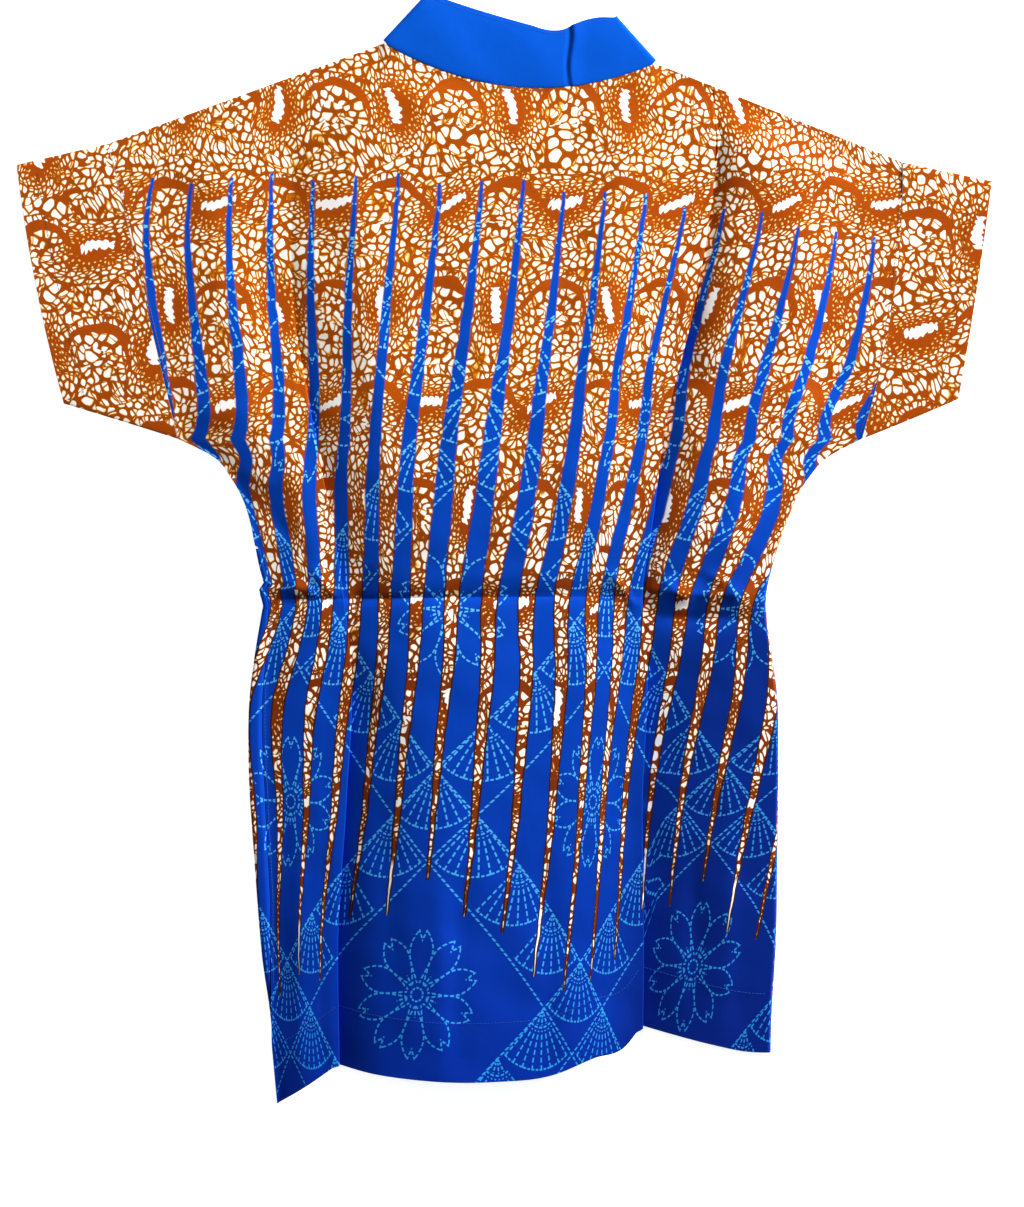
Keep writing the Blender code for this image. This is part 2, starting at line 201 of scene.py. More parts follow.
# Stitches: the space between two, and how far each row lies in from its edge
STITCH_SPACE = 0.7
INSET = {"hem": 50.0, "neck": 2.2, "armhole": 2.6, "side": 2.4, "band_share": 0.94}
CUFF_INSET = {"left": 19.0, "right": 17.0}

# Mesh steps, and the widths of the panels that they are counted on
COLUMNS = {"left": 38, "middle": 92, "right": 40}
LIP_COLUMNS = np.array((5.0, 4.0, 3.3, 2.8, 2.45, 2.15, 1.9, 1.6, 1.2, 0.8, 0.45, 0.2))
LIP_PANELS = {"left": 66.0, "middle": 280.0}
EDGE_COLUMNS = np.array((2.6, 1.9, 1.4, 1.0, 0.7, 0.4, 0.2))
ROWS = {"yoke": 82, "waist": 42, "skirt": 100}
LAST_PANEL = 90.0
FRONT_STEPS = {"above": 34, "below": 120, "across": 42}
TUBE_COLUMNS = 44
TURN_STEPS = 9
BAND_STEPS = {"leg": 14, "back": 66, "across": 22}
RIM = 0.4
WAIST_Y = -41.0
SLEEVE_STEPS = np.concatenate(([0, 0.005], np.linspace(0, 1, 26)[1:-1], [0.995, 1]))

# Small tuck that stands out of the left outline under the waist: how far out it
# is at places down its height, and the rows of the front that follow it
WAIST_TUCK = {"y": -33.0, "tall": 15.0, "out": 5.0}
TUCK_SHAPE = ((-0.12, 0.0, 0.4, 1.0), (0.0, 1.0, 0.8, 0.0))
TUCK_ROWS = np.arange(-3, 18, 1.5)


def lerp(a, b, t):
    """Straight blend from a to b."""
    return a + (b - a) * t


def hump(t):
    """Parabola: 0 at t = 0 and at t = 1, and 1 half way."""
    return 4 * t * (1 - t)


def cubic(t, length, values, slopes):
    """Cubic between two values with given slopes, for t from 0 to 1; straight beyond them."""
    step = values[1] - values[0]
    bend = (slopes[0] * length - step) * (1 - t) - (slopes[1] * length - step) * t
    return values[0] + t * step + np.where((t > 0) & (t < 1), t * (1 - t) * bend, 0.0)


def smooth(x, xs, ys):
    """Cubic curve through a table's points, in either order of xs."""
    if xs[0] > xs[-1]:
        xs, ys = xs[::-1], ys[::-1]
    x = np.clip(np.asarray(x, float), xs[0], xs[-1])
    slope = np.gradient(ys, xs)
    k = np.clip(np.searchsorted(xs, x) - 1, 0, len(xs) - 2)
    h = xs[k + 1] - xs[k]
    return cubic((x - xs[k]) / h, h, (ys[k], ys[k + 1]), (slope[k], slope[k + 1]))


def armhole_x(y, side):
    """X of an armhole seam at height y: a straight line bowed outward."""
    (x0, y0), (x1, y1) = ARMHOLE[side]
    t = (y0 - np.asarray(y, float)) / (y0 - y1)
    return lerp(x0, x1, t) + ARMHOLE_BOW[side] * hump(np.clip(t, 0, 1))


def left_x(y):
    """X of the left outline: the armhole above the underarm, the side below."""
    below = (WAIST_TUCK["y"] - np.asarray(y, float)) / WAIST_TUCK["tall"]
    side = smooth(y, SIDES["y"], SIDES["left"]) - np.interp(below, *TUCK_SHAPE) * WAIST_TUCK["out"]
    return np.where(y >= UNDERARM_Y, armhole_x(y, "left"), side)


def right_x(y):
    """X of the right outline: the armhole above the underarm, the side below."""
    return np.where(y >= UNDERARM_Y, armhole_x(y, "right"), smooth(y, SIDES["y"], SIDES["right"]))


def strip_width(y):
    """Width of the front's strip on top of the left edge; none above its start."""
    width = np.interp(y, SIDE_STRIP["y"][::-1], SIDE_STRIP["width"][::-1])
    return np.where(y > SIDE_TURN_START_Y + SEAM_GAP, 0.0, width)


def top_y(x):
    """Y of the back's upper edge: shoulder, sagging neck seam, shoulder."""
    x = np.asarray(x, float)
    corners = (ARMHOLE["left"][0], NECK["left"], NECK["right"], ARMHOLE["right"][0])
    t = np.clip((x - NECK["left"][0]) / (NECK["right"][0] - NECK["left"][0]), 0, 1)
    return np.interp(x, *zip(*corners)) - NECK_SAG * hump(t)


def hem_y(x):
    """Y of the back hem: three smooth curves that meet in corners at the troughs."""
    x = np.asarray(x, float)
    cuts = [int(np.argmin(abs(HEM["x"] - FOLDS[name][-1]))) for name in ("trough_l", "trough_r")]
    parts = (slice(0, cuts[0] + 1), slice(cuts[0], cuts[1] + 1), slice(cuts[1], None))
    curves = [smooth(x, HEM["x"][part], HEM["y"][part]) for part in parts]
    return np.select((x <= HEM["x"][cuts[0]], x <= HEM["x"][cuts[1]]), curves[:2], curves[2])


def fold(name, y):
    """One column of the fold table at height y."""
    return smooth(y, FOLDS["y"], FOLDS[name])


def panel_lines(y):
    """X of the four lines between which the back's panels lie at height y."""
    strip = strip_width(y)
    return (left_x(y) + strip + SEAM_GAP * (strip > 0), fold("trough_l", y), fold("trough_r", y),
            right_x(y))


def across(s, y):
    """X at place s: 0 to 1 left panel, 1 to 2 middle, 2 to 3 right panel."""
    lines = panel_lines(y)
    panel = np.clip(np.floor(s), 0, 2).astype(int)
    start = np.choose(panel, lines[:3])
    end = np.choose(panel, lines[1:])
    return lerp(start, end, s - panel)


def rise(t, low, high, power):
    """Height from a trough at t = 0 to a ridge at t = 1, steep at first and then level."""
    return lerp(high, low, (1 - np.clip(t, 0, 1)) ** power)


def ease(t, start, end):
    """Height from start to end, level at both, by half a cosine."""
    return lerp(start, end, (1 - np.cos(math.pi * np.clip(t, 0, 1))) / 2)


def bell(distance, width):
    """1 at no distance, falling smoothly to 0 past about two widths."""
    return np.exp(-(distance / width) ** 2)


def low_arch(t, foot):
    """Height of a puffed sleeve over t from 0 to 1, from its foot up to its peak."""
    return lerp(foot, SLEEVE_PEAK_Z, np.sin(math.pi * t) ** SLEEVE_ROUND)


def seam_height(y, side):
    """Height of the cloth along an armhole seam: a low arch between its ends."""
    top, bottom = ARMHOLE[side][0][1], ARMHOLE[side][1][1]
    return low_arch(np.clip((top - y) / (top - bottom), 0, 1), EDGE_Z)


def edge_height(y, side):
    """Height of the back's side edge."""
    below = EDGE_Z
    if side == "left":
        below = np.interp(y, (HEM["y"][0], FRONT_HEM["left"], SIDE_TURN_START_Y, SIDE_LEVEL_Y),
                          (HEM_CORNER_Z, SIDE_TOP_Z, SIDE_TOP_Z, EDGE_Z))
    return np.where(y >= UNDERARM_Y, seam_height(y, side), below)


# Creases: straight ridges (or troughs, where the depth is below 0) from start to
# end, in plan. width is half of a crease's breadth, and its section is a bell: of
# power 2 it is soft, of power 1 it comes to a crisp line
CREASES = table("x0 y0 x1 y1 width depth power", (
    # pressed line across the waist
    (-236, -41, 124, -41, 2.5, -2.8, 1),
    (-236, -39, 130, -40, 10, -3.6, 1.2),
    (-90, -24, 104, -25, 9, 1.0, 2),
    (-226, -32, -172, -36, 6, 3.4, 1.5),
    (-226, -48, -176, -47, 5, -3.0, 1.2),
    (108, -34, 232, -38, 8, 4.6, 1.3),
    (112, -55, 228, -58, 8, -4.4, 1.5),
    # puckers where the troughs cross the waist
    (-196, -24, -150, -44, 5, 2.6, 1.5),
    (-168, -16, -132, -50, 5, 2.4, 1.5),
    (-112, -18, -142, -62, 5, -2.4, 1.5),
    (84, -18, 122, -56, 5, 2.8, 1.5),
    (132, -20, 156, -48, 5, 2.8, 1.5),
    (150, -50, 186, -26, 5, -2.6, 1.5),
    (168, -16, 200, -44, 5, 2.4, 1.5),
    # drag lines from the right waist up to the side
    (116, -30, 192, 20, 6, 2.2, 1.5),
    (134, -36, 214, -2, 6, -2.2, 1.5),
    (150, 0, 226, 40, 8, 1.4, 2),
    # drag lines under the arms
    (-262, 84, -196, 52, 8, 2.2, 1.5),
    (-240, 60, -176, 4, 9, -2.2, 1.5),
    (-268, 112, -208, 120, 12, 1.8, 2),
    (286, 88, 210, 56, 8, 2.4, 1.5),
    (262, 62, 192, 4, 9, -2.2, 1.5),
    (290, 118, 228, 130, 12, 1.8, 2),
    # long soft folds down the yoke
    (-126, 380, -104, 40, 14, 1.6, 2),
    (-68, 330, -54, 20, 14, -1.0, 2),
    (-16, 360, -8, 20, 20, 0.8, 2),
    (44, 340, 38, 10, 15, -1.0, 2),
    (94, 370, 84, 20, 14, 1.4, 2),
    (-252, 340, -222, 110, 17, 1.8, 2),
    (-216, 330, -194, 60, 12, -1.6, 2),
    (264, 310, 236, 100, 17, 1.8, 2),
    # soft ripples down the skirt to the hem
    (-102, -150, -96, -450, 12, -1.0, 2),
    (-62, -260, -50, -452, 10, 1.0, 2),
    (-34, -190, -38, -452, 10, -0.9, 2),
    (34, -240, 36, -446, 10, -1.0, 2),
    (-178, -220, -172, -460, 8, 1.2, 2),
    (160, -210, 158, -412, 9, -1.4, 2),
    (186, -180, 188, -420, 9, 1.2, 2),
))


def creases(x, y):
    """Sum of the creases: each is a bell across its line, with both ends tapered."""
    total = np.zeros(np.broadcast(x, y).shape)
    for x0, y0, x1, y1, width, depth, power in zip(*CREASES.values()):
        length = math.hypot(x1 - x0, y1 - y0)
        ax, ay = (x1 - x0) / length, (y1 - y0) / length
        along = (x - x0) * ax + (y - y0) * ay
        aside = (y - y0) * ax - (x - x0) * ay
        wander = width * 0.3 * np.sin(along / (length * 0.21) + x0 * 0.05)
        taper = np.sin(math.pi * np.clip(along / length, 0, 1)) ** 0.6
        total += depth * taper * np.exp(-abs((aside + wander) / width) ** power)
    return total


def unevenness(x, y):
    """Slight limp waves: a sum of sines in scattered directions."""
    rng = np.random.default_rng(7)
    total = np.zeros(np.broadcast(x, y).shape)
    for _ in range(WAVES["count"]):
        angle = rng.uniform(0, math.pi)
        wave = rng.uniform(WAVES["short"], WAVES["long"])
        phase = rng.uniform(0, 2 * math.pi)
        total += np.sin((x * math.cos(angle) + y * math.sin(angle)) * 2 * math.pi / wave + phase)
    return total * WAVES["high"]


def edge_sharpness(y):
    """How upright the right edge is: 1 down the skirt, falling to 0 above the waist."""
    return np.interp(y, (UPRIGHT["full"], UPRIGHT["none"]), (1.0, 0.0))


def back_height(s, x, y):
    """Height of the back panel's cloth: the deep folds with creases on them."""
    left, last = RIDGE_AT["left"], RIDGE_AT["rise_r"]
    name = {key: fold(key, y) for key in FOLDS if key != "y"}
    off = {"l": x - name["trough_l"], "r": x - name["trough_r"]}

    def lip(t, start, side):
        """Height from a ridge over t to the lip, with the drop into the trough after it."""
        drop = name["lip_" + side] - name["low_" + side]
        return ease(t, start, name["lip_" + side]) - drop * bell(off[side], LIP["drop"])

    m = s - 1
    first = REACH_LEFT / (name["trough_r"] - name["trough_l"])
    to_edge = right_x(y) - x
    fall_width = right_x(y) - name["trough_r"] - name["reach_r"]
    fall = ease(to_edge / np.maximum(fall_width, MIN_FALL), 0, 1)
    right_side = lerp(edge_height(y, "right"), name["ridge_r"],
                      lerp(fall, 1 - bell(to_edge, EDGE_ROUND), edge_sharpness(y)))
    z = np.select(
        (s < left, s < 1, m < first, m < last, s < 2, off["r"] < name["reach_r"]),
        (rise((s - LEVEL_EDGE) / (left - LEVEL_EDGE), edge_height(y, "left"), name["ridge_l"],
              STEEPNESS["edge"]),
         lip((s - left) / (1 - left), name["ridge_l"], "l"),
         rise(m / first, name["low_l"], name["rise_l"], STEEPNESS["left"]),
         ease((m - first) / (last - first), name["rise_l"], name["rise_r"]),
         lip((m - last) / (1 - last), name["rise_r"], "r"),
         rise(off["r"] / name["reach_r"], name["low_r"], name["ridge_r"], STEEPNESS["right"])),
        right_side)
    in_neck = (x >= NECK["left"][0]) & (x <= NECK["right"][0])
    top_z = np.where(in_neck, BAND_TOP_Z, EDGE_Z)
    below_top = top_y(x) - y
    z = np.minimum(z, ease(below_top / TOP_RAMP, top_z, z))
    from_side = np.minimum(x - left_x(y), right_x(y) - x)
    loose = np.clip(np.minimum(from_side, below_top) / LOOSE["reach"], 0, 1) ** LOOSE["power"]
    from_trough = np.minimum(abs(off["l"]), abs(off["r"]))
    loose *= lerp(LOOSE["at_trough"], 1.0, np.clip(from_trough / LOOSE["past_trough"], 0, 1))
    return np.maximum(z + loose * (creases(x, y) + unevenness(x, y)), EDGE_Z)


def overhang(x, y):
    """How far the cloth of a lip hangs over its trough."""
    total = np.zeros(np.broadcast(x, y).shape)
    for side in ("l", "r"):
        before = fold("trough_" + side, y) - x
        step = (fold("lip_" + side, y) - fold("low_" + side, y) - LIP["least"]) / LIP["grow"]
        along = np.clip(before / LIP["from"], 0, 1)
        total += LIP["over"] * np.clip(step, 0, 1) * np.sin(math.pi * along)
    return total


def wall_travel(s, x, y):
    """Extra print taken up by the upright cloth of the lips and of the right edge."""
    total = np.zeros(x.shape)
    for side, whole in (("l", 1), ("r", 2)):
        off = x - fold("trough_" + side, y)
        step = fold("lip_" + side, y) - fold("low_" + side, y)
        total += np.where((s > whole - 0.5) & (s <= whole), step * bell(off, LIP["drop"]), 0.0)
    upright = edge_sharpness(y) * (fold("ridge_r", y) - EDGE_Z)
    return total + upright * bell(right_x(y) - x, EDGE_ROUND)


def share_across(x, y):
    """Place s of a plan point on the back panel: what across() undoes."""
    lines = panel_lines(y)
    panel = (x > lines[1]).astype(int) + (x > lines[2])
    start, end = np.choose(panel, lines[:3]), np.choose(panel, lines[1:])
    return panel + (x - start) / (end - start)


def streak_number(x, y):
    """Number of the streak at a point: a curve through the six lines of the print's table."""
    t_l, t_r = fold("trough_l", y), fold("trough_r", y)
    lines = (left_x(y), t_l, lerp(t_l, t_r, STREAK_LINES[0]), lerp(t_l, t_r, STREAK_LINES[1]),
             t_r, right_x(y))
    names = ("edge_l", "trough_l", "rise_l", "rise_r", "trough_r", "edge_r")
    numbers = [smooth(y, STREAKS["y"], STREAKS[name]) for name in names]
    spans = [(n1 - n0) / (x1 - x0) for x0, x1, n0, n1 in zip(lines, lines[1:], numbers, numbers[1:])]
    slopes = [spans[0], *((a + b) / 2 for a, b in zip(spans, spans[1:])), spans[-1]]
    k = sum((x > line).astype(int) for line in lines[1:-1])
    (x0, x1), values, ends = ([np.choose(k, row[:-1]), np.choose(k, row[1:])]
                              for row in (lines, numbers, slopes))
    return cubic((x - x0) / (x1 - x0), x1 - x0, values, ends)


def add_object(name, data):
    """Object that shows the data in the scene."""
    added = bpy.data.objects.new(name, data)
    bpy.context.scene.collection.objects.link(added)
    return added


def add_wall(piece, wall, quality=False):
    """Gives a surface its thickness, half to each side."""
    thickness = piece.modifiers.new("wall", "SOLIDIFY")
    thickness.thickness = wall * MM
    thickness.offset = 0.0
    thickness.use_even_offset = True
    thickness.use_quality_normals = quality


def new_mesh(name, points, faces, cloth, wall, material):
    """Mesh of points in millimetres with a wall, its print laid out in the UV map named cloth."""
    mesh = bpy.data.meshes.new(name)
    points = np.asarray(points, float)
    mesh.from_pydata(((points - (*CENTRE, 0)) * MM).tolist(), [], faces)
    mesh.update()
    layer = mesh.uv_layers.new(name="cloth")
    cloth = np.asarray(cloth)
    if len(cloth) != len(mesh.loops):
        corners = np.empty(len(mesh.loops), int)
        mesh.loops.foreach_get("vertex_index", corners)
        cloth = cloth[corners]
    layer.data.foreach_set("uv", (cloth * MM).ravel())
    mesh.shade_smooth()
    mesh.materials.append(material)
    piece = add_object(name, mesh)
    if wall:
        add_wall(piece, wall, True)
    return piece


def grid_faces(rows, columns, closed=False):
    """Quads between the rows of a grid; a closed grid joins its last column to its first."""
    i, j = np.meshgrid(np.arange(rows - 1), np.arange(columns if closed else columns - 1),
                       indexing="ij")
    k = (j + 1) % columns
    quads = np.stack((i * columns + j, (i + 1) * columns + j,
                      (i + 1) * columns + k, i * columns + k), axis=-1)
    return quads.reshape(-1, 4).tolist()


def operator(operation, turned=False):
    """Method that works a field with the other terms in one Math node, or the terms with the field."""
    def act(self, *others):
        return self.math(operation, *((*others, self) if turned else (self, *others)))
    return act


class Field:
    """A value that varies over the cloth. Arithmetic with it adds Math nodes to its own tree."""

    def __init__(self, socket):
        self.socket = socket

    def math(self, operation, *terms, clamp=False):
        """One Math node over the terms."""
        node = self.socket.id_data.nodes.new("ShaderNodeMath")
        node.operation = operation
        node.use_clamp = clamp
        for slot, term in zip(node.inputs, terms):
            feed(slot, term)
        return Field(node.outputs[0])

    __add__ = __radd__ = operator("ADD")
    __sub__ = operator("SUBTRACT")
    __rsub__ = operator("SUBTRACT", turned=True)
    __mul__ = __rmul__ = operator("MULTIPLY")
    __truediv__ = operator("DIVIDE")
    __mod__ = operator("FLOORED_MODULO")
    __pow__ = operator("POWER")
    __abs__ = operator("ABSOLUTE")
    floor, fract = operator("FLOOR"), operator("FRACT")
    sin, cos, angle = operator("SINE"), operator("COSINE"), operator("ARCTAN2")

    def clamp(self):
        """Kept between 0 and 1."""
        return self.math("ADD", self, 0.0, clamp=True)

    def above(self, edge, soft=0.001):
        """0 below the edge and 1 above it, over a soft width."""
        return self.math("ADD", (self - edge) / soft, 0.5, clamp=True)

    def below(self, edge, soft=0.001):
        """1 below the edge and 0 above it, over a soft width."""
        return 1.0 - self.above(edge, soft)

    def off_whole(self):
        """Signed distance from the nearest whole number."""
        return (self + 0.5).fract() - 0.5


def feed(slot, value):
    """Links a field or socket into a slot, or writes a number or colour there."""
    value = value.socket if isinstance(value, Field) else value
    if isinstance(value, bpy.types.NodeSocket):
        slot.id_data.links.new(value, slot)
    else:
        slot.default_value = value


def feed_all(node, values):
    """Feeds inputs of a node, by name or by number."""
    for key, value in values.items():
        feed(node.inputs[key], value)


def new_node(socket, kind, values, **settings):
    """Node of a kind in a socket's tree, with its own settings and what feeds it."""
    node = socket.id_data.nodes.new(kind)
    for key, value in settings.items():
        setattr(node, key, value)
    feed_all(node, values)
    return node


def join(x, y):
    """Vector socket of two fields."""
    return new_node(x.socket, "ShaderNodeCombineXYZ", {0: x, 1: y}).outputs[0]


def split(vector):
    """Fields X and Y of a vector socket."""
    node = new_node(vector, "ShaderNodeSeparateXYZ", {0: vector})
    return Field(node.outputs[0]), Field(node.outputs[1])


def noise(vector, scale, detail=2.0):
    """Field of noise between 0 and 1."""
    node = new_node(vector, "ShaderNodeTexNoise",
                    {"Vector": vector, "Scale": scale, "Detail": detail}, noise_dimensions="2D")
    return Field(node.outputs["Fac"])


def blend(factor, a, b):
    """Colour socket: a where factor is 0, b where it is 1."""
    values = {"Factor": factor, 6: a, 7: b}
    return new_node(factor.socket, "ShaderNodeMix", values, data_type="RGBA").outputs[2]


def root(x, y):
    """Length of a place from its origin."""
    return (x * x + y * y) ** 0.5


def largest(first, *rest):
    """Largest of several fields."""
    for field in rest:
        first = first.math("MAXIMUM", first, field)
    return first


def smallest(a, b):
    """Smaller of two fields."""
    return a.math("MINIMUM", a, b)


def choose(mask, a, b):
    """Field a where the mask is 0, field b where it is 1."""
    return a + (b - a) * mask


def new_group(name, inputs, outputs):
    """Empty node group with named sockets: its inputs and the slots of its outputs."""
    tree = bpy.data.node_groups.new(name, "ShaderNodeTree")
    kinds = {"value": "NodeSocketFloat", "vector": "NodeSocketVector", "colour": "NodeSocketColor"}
    for sockets, side in ((inputs, "INPUT"), (outputs, "OUTPUT")):
        for key, kind in sockets.items():
            tree.interface.new_socket(name=key, in_out=side, socket_type=kinds[kind])
    return tree.nodes.new("NodeGroupInput").outputs, tree.nodes.new("NodeGroupOutput").inputs


def use_group(socket, name, **links):
    """One use of a shared node group in a socket's tree."""
    return new_node(socket, "ShaderNodeGroup", links, node_tree=bpy.data.node_groups[name]).outputs


# Print colours, and darker and lighter copies of them that paint shade and light, in the shader's own
# linear values
WHITE = (0.96, 0.94, 0.90, 1)
CREAM = (0.90, 0.60, 0.17, 1)
ORANGE = (0.66, 0.22, 0.004, 1)
BROWN = (0.44, 0.080, 0.001, 1)
# Deeper brown: a darker tone of the net, at random and on the sleeves, and painted shade on the right
# panel
DEEP_BROWN = (0.31, 0.046, 0.001, 1)
THIN_BROWN = (0.34, 0.062, 0.001, 1)
# Brown of the net in painted shade towards the hem
LOW_SHADE_BROWN = (0.19, 0.028, 0.002, 1)
BLUE = (0.0, 0.070, 0.51, 1)
# Blue in painted shade towards the hem
DEEP_BLUE = (0.0, 0.023, 0.315, 1)
# Blue in painted shade on the right panel
RIGHT_SHADE_BLUE = (0.0, 0.006, 0.11, 1)
# Pale dashes, in painted shade towards the hem, and the palest in painted light at the top
PALE_BLUE = (0.018, 0.29, 0.74, 1)
PALEST_BLUE = (0.17, 0.61, 0.87, 1)
# Pale dashes in painted shade on the right panel
RIGHT_SHADE_DASH_BLUE = (0.004, 0.12, 0.42, 1)
BAND_BLUE = (0.0, 0.090, 0.61, 1)
LINE_BROWN = (0.030, 0.010, 0.010, 1)
PLUM = (0.20, 0.03, 0.11, 1)

# Upper print: a half-drop repeat of seeds, with an arch between each four
SEED_REPEAT = {"wide": 98.0, "tall": 85.0, "down": 4.5, "turn": 1.42}
SEED = {"x": 1.5, "y": -4.0, "wide": 13.6, "tall": 21.6, "reach": 2.1, "dots": 33}
SEED_DOTS = {"first": 0.66, "step": 0.21, "around": 19, "size": 0.72}
SLIT = {"x": -1.0, "wide": 3.8, "tall": 15.0, "scallop": 0.2, "scallops": 1.15}
ARCH = {"x": 49.0, "y": 8.0, "radius": 26.5, "thick": 4.9, "rim": 36.0, "hub": 9.0}
ARCH_FOOT = -9.0
FAR = 99.0
ARCH_SPOKES = (2.3, 7.6)
CELL = 6.8
COARSE = {"above": 0.52, "by": 1.45}
SLIVER = {"above": 0.57, "wide": 5.0, "long": 12.0, "lean": 0.5}
CELL_LINE = 0.84
ROUND = {"from": 0.38, "by": 0.75}

# Lower print, as in running stitch: diamonds edged by bands of fans round blossoms
DIAMOND = {"x": 335.0, "y": -377.0, "half_wide": 161.0, "half_tall": 163.0}
DRAWN_UP = 23.0
FAN_BAND = (0.69, 1.17)
FAN = {"step": 0.5, "radius": 50.5, "spread": 0.72, "gaps": 7, "arc": 14.8}
BLOSSOM = {"petals": 5, "lean": 0.91, "ring": 5.7, "start": 6.0, "length": 53.0, "notch": 46.5,
           "wide": 10.8}

# Numbers of the streaks from which the right panel's print gets painted shade on its brown net,
# painted shade on its blue, and is drawn up
RIGHT_PANEL = {"painted_right_net_shade": 14.2, "dark": 16.3, "drawn_up": 16.85}

# Weave: pitch and height of its threads
WEAVE = {"pitch": 0.55, "high": 0.12}


def half_drop(x, y, right=0.0, up=0.0):
    """Seed repeat: column and row of the tile, and the place from its centre."""
    wide, tall = SEED_REPEAT["wide"], SEED_REPEAT["tall"]
    rows = (y + SEED_REPEAT["down"] + up) / tall
    row = rows.floor()
    columns = (x + right) / wide + row % 2.0 * 0.5
    return columns.floor(), row, (columns.fract() - 0.5) * wide, (rows.fract() - 0.5) * tall


def cell_net(vector):
    """Scattered cells, one to a unit: distances from a cell's middle and from its wall."""
    values = {"Vector": vector, "Scale": 1.0, "Randomness": 0.95}
    nodes = [new_node(vector, "ShaderNodeTexVoronoi", values, voronoi_dimensions="2D",
                      feature=feature) for feature in ("F1", "DISTANCE_TO_EDGE")]
    return [Field(node.outputs["Distance"]) for node in nodes]


def build_cell_print():
    """Brown net of pale rounded cells round seeds and arches.

    The net is the walls of scattered cells, laid on a plan of its own in each
    zone: rings round a seed, spokes under and over an arch, slivers in some
    patches, and an even spread elsewhere. Zones are parted by a wall. A seed is an
    egg of solid brown with a scalloped pale slit, alternately upright and turned,
    and an arch is a tapering bow of solid brown.
    """
    given, result = new_group("cell_print", {"Place": "vector"},
                                    {"Color": "colour", "Pale": "value"})
    plain = given["Place"]
    x, y = split(plain)
    x = x + (noise(plain, 0.03) - 0.5) * 12.0
    y = y + (noise(plain, 0.045) - 0.5) * 9.0
    column, row, px, py = half_drop(x, y)
    turn = row % 2.0 * SEED_REPEAT["turn"] + (column * 2.4 + row * 1.3).sin() * 0.22 - 0.15
    sx = px * turn.cos() - py * turn.sin()
    sy = px * turn.sin() + py * turn.cos()
    ex, ey = (sx - SEED["x"]) / SEED["wide"], (sy - SEED["y"]) / SEED["tall"]
    egg = root(ex, ey)
    wander = noise(join(sx * 0.2, sy * 0.2), 1.0) * 5.0
    jag = (sy * SLIT["scallops"] + sx * 0.5 + wander).sin() * SLIT["scallop"]
    slit = (abs((sx - SLIT["x"]) / SLIT["wide"]) ** 3.0 + abs(sy / SLIT["tall"]) ** 3.0) ** 0.333 + jag
    _, _, ax, ay = half_drop(x, y, ARCH["x"], ARCH["y"])
    bow = root(ax, ay)
    lean = ax.angle(ay)
    band = abs(bow - ARCH["radius"]) - (1.0 - abs(lean * 0.46 - 0.12)) * ARCH["thick"]
    sliver = noise(plain, 0.022, 1.0) - SLIVER["above"]

    coarse = noise(plain, 0.03, 1.0)
    size = choose(coarse.above(COARSE["above"]), CELL, CELL * COARSE["by"])
    u, v = x / size, y / size
    walls = smallest(abs(sliver) * 55.0 + 0.4, abs(coarse - COARSE["above"]) * 60.0 + 0.4)
    in_sliver = sliver.above(0.0)
    slant = x + y * SLIVER["lean"]
    u, v = choose(in_sliver, u, slant / SLIVER["wide"]), choose(in_sliver, v, y / SLIVER["long"])
    in_arch = bow.below(ARCH["rim"]) * ay.above(ARCH_FOOT) * bow.above(ARCH["hub"])
    outside = bow.above(ARCH["radius"])
    u = choose(in_arch, u, lean * choose(outside, *ARCH_SPOKES))
    v = choose(in_arch, v, bow / 9.5 + 0.15)
    walls = smallest(walls, abs(bow - ARCH["rim"]) + ay.below(ARCH_FOOT) * FAR)
    in_seed = egg.below(SEED["reach"])
    ring = SEED["dots"] / (2 * math.pi)
    u = choose(in_seed, u, ex.angle(ey) * ring)
    v = choose(in_seed, v, egg.math("LOGARITHM", egg, math.e) * ring)
    size = choose(in_seed, size, egg * (0.5 * (SEED["wide"] + SEED["tall"]) / ring))
    walls = smallest(walls, abs(egg - SEED["reach"]) * 15.0)

    reach, edge = cell_net(join(u, v))
    wall = smallest((edge - largest(reach - ROUND["from"], 0.0) * ROUND["by"]) * size, walls)
    line = noise(plain, 0.09) * 0.3 + CELL_LINE - 0.15 + egg.below(1.12, 0.5) * 0.5
    solid = largest(egg.below(1.04, 0.04), band.below(0.0, 0.5))
    cut = slit.below(1.0, 0.1)
    around = ex.angle(ey) * (SEED_DOTS["around"] / (2 * math.pi))
    row_out = (egg - SEED_DOTS["first"]) / SEED_DOTS["step"]
    dot_x = (around + row_out.floor() * 0.5).off_whole() * egg * (100.0 / SEED_DOTS["around"])
    dots = root(dot_x, (row_out.fract() - 0.5) * 2.9).below(SEED_DOTS["size"], 0.3)
    dots = dots * egg.above(SEED_DOTS["first"]) * egg.below(1.06) * slit.above(1.5)
    pale = largest(wall.above(line, 0.3) * (1.0 - solid), cut, dots)
    heart = largest(wall.above(line + 0.4, 0.5) * (1.0 - dots), cut)
    thick = largest(solid, line.above(CELL_LINE + 0.18, 0.1))
    dark = blend(thick, THIN_BROWN, blend(noise(plain, 0.012), DEEP_BROWN, BROWN))
    dark = blend(wall.above(line - 0.3, 0.4) * (1.0 - solid), dark, ORANGE)
    feed(result["Color"], blend(pale, dark, blend(heart, CREAM, WHITE)))
    feed(result["Pale"], pale)


def dashes(distance, travel, half=0.75, pitch=5.9):
    """Dashed line: 1 within its half width of distance 0, broken along its travel."""
    return abs(distance).below(half, 0.4) * abs((travel / pitch).off_whole()).below(0.32, 0.06)


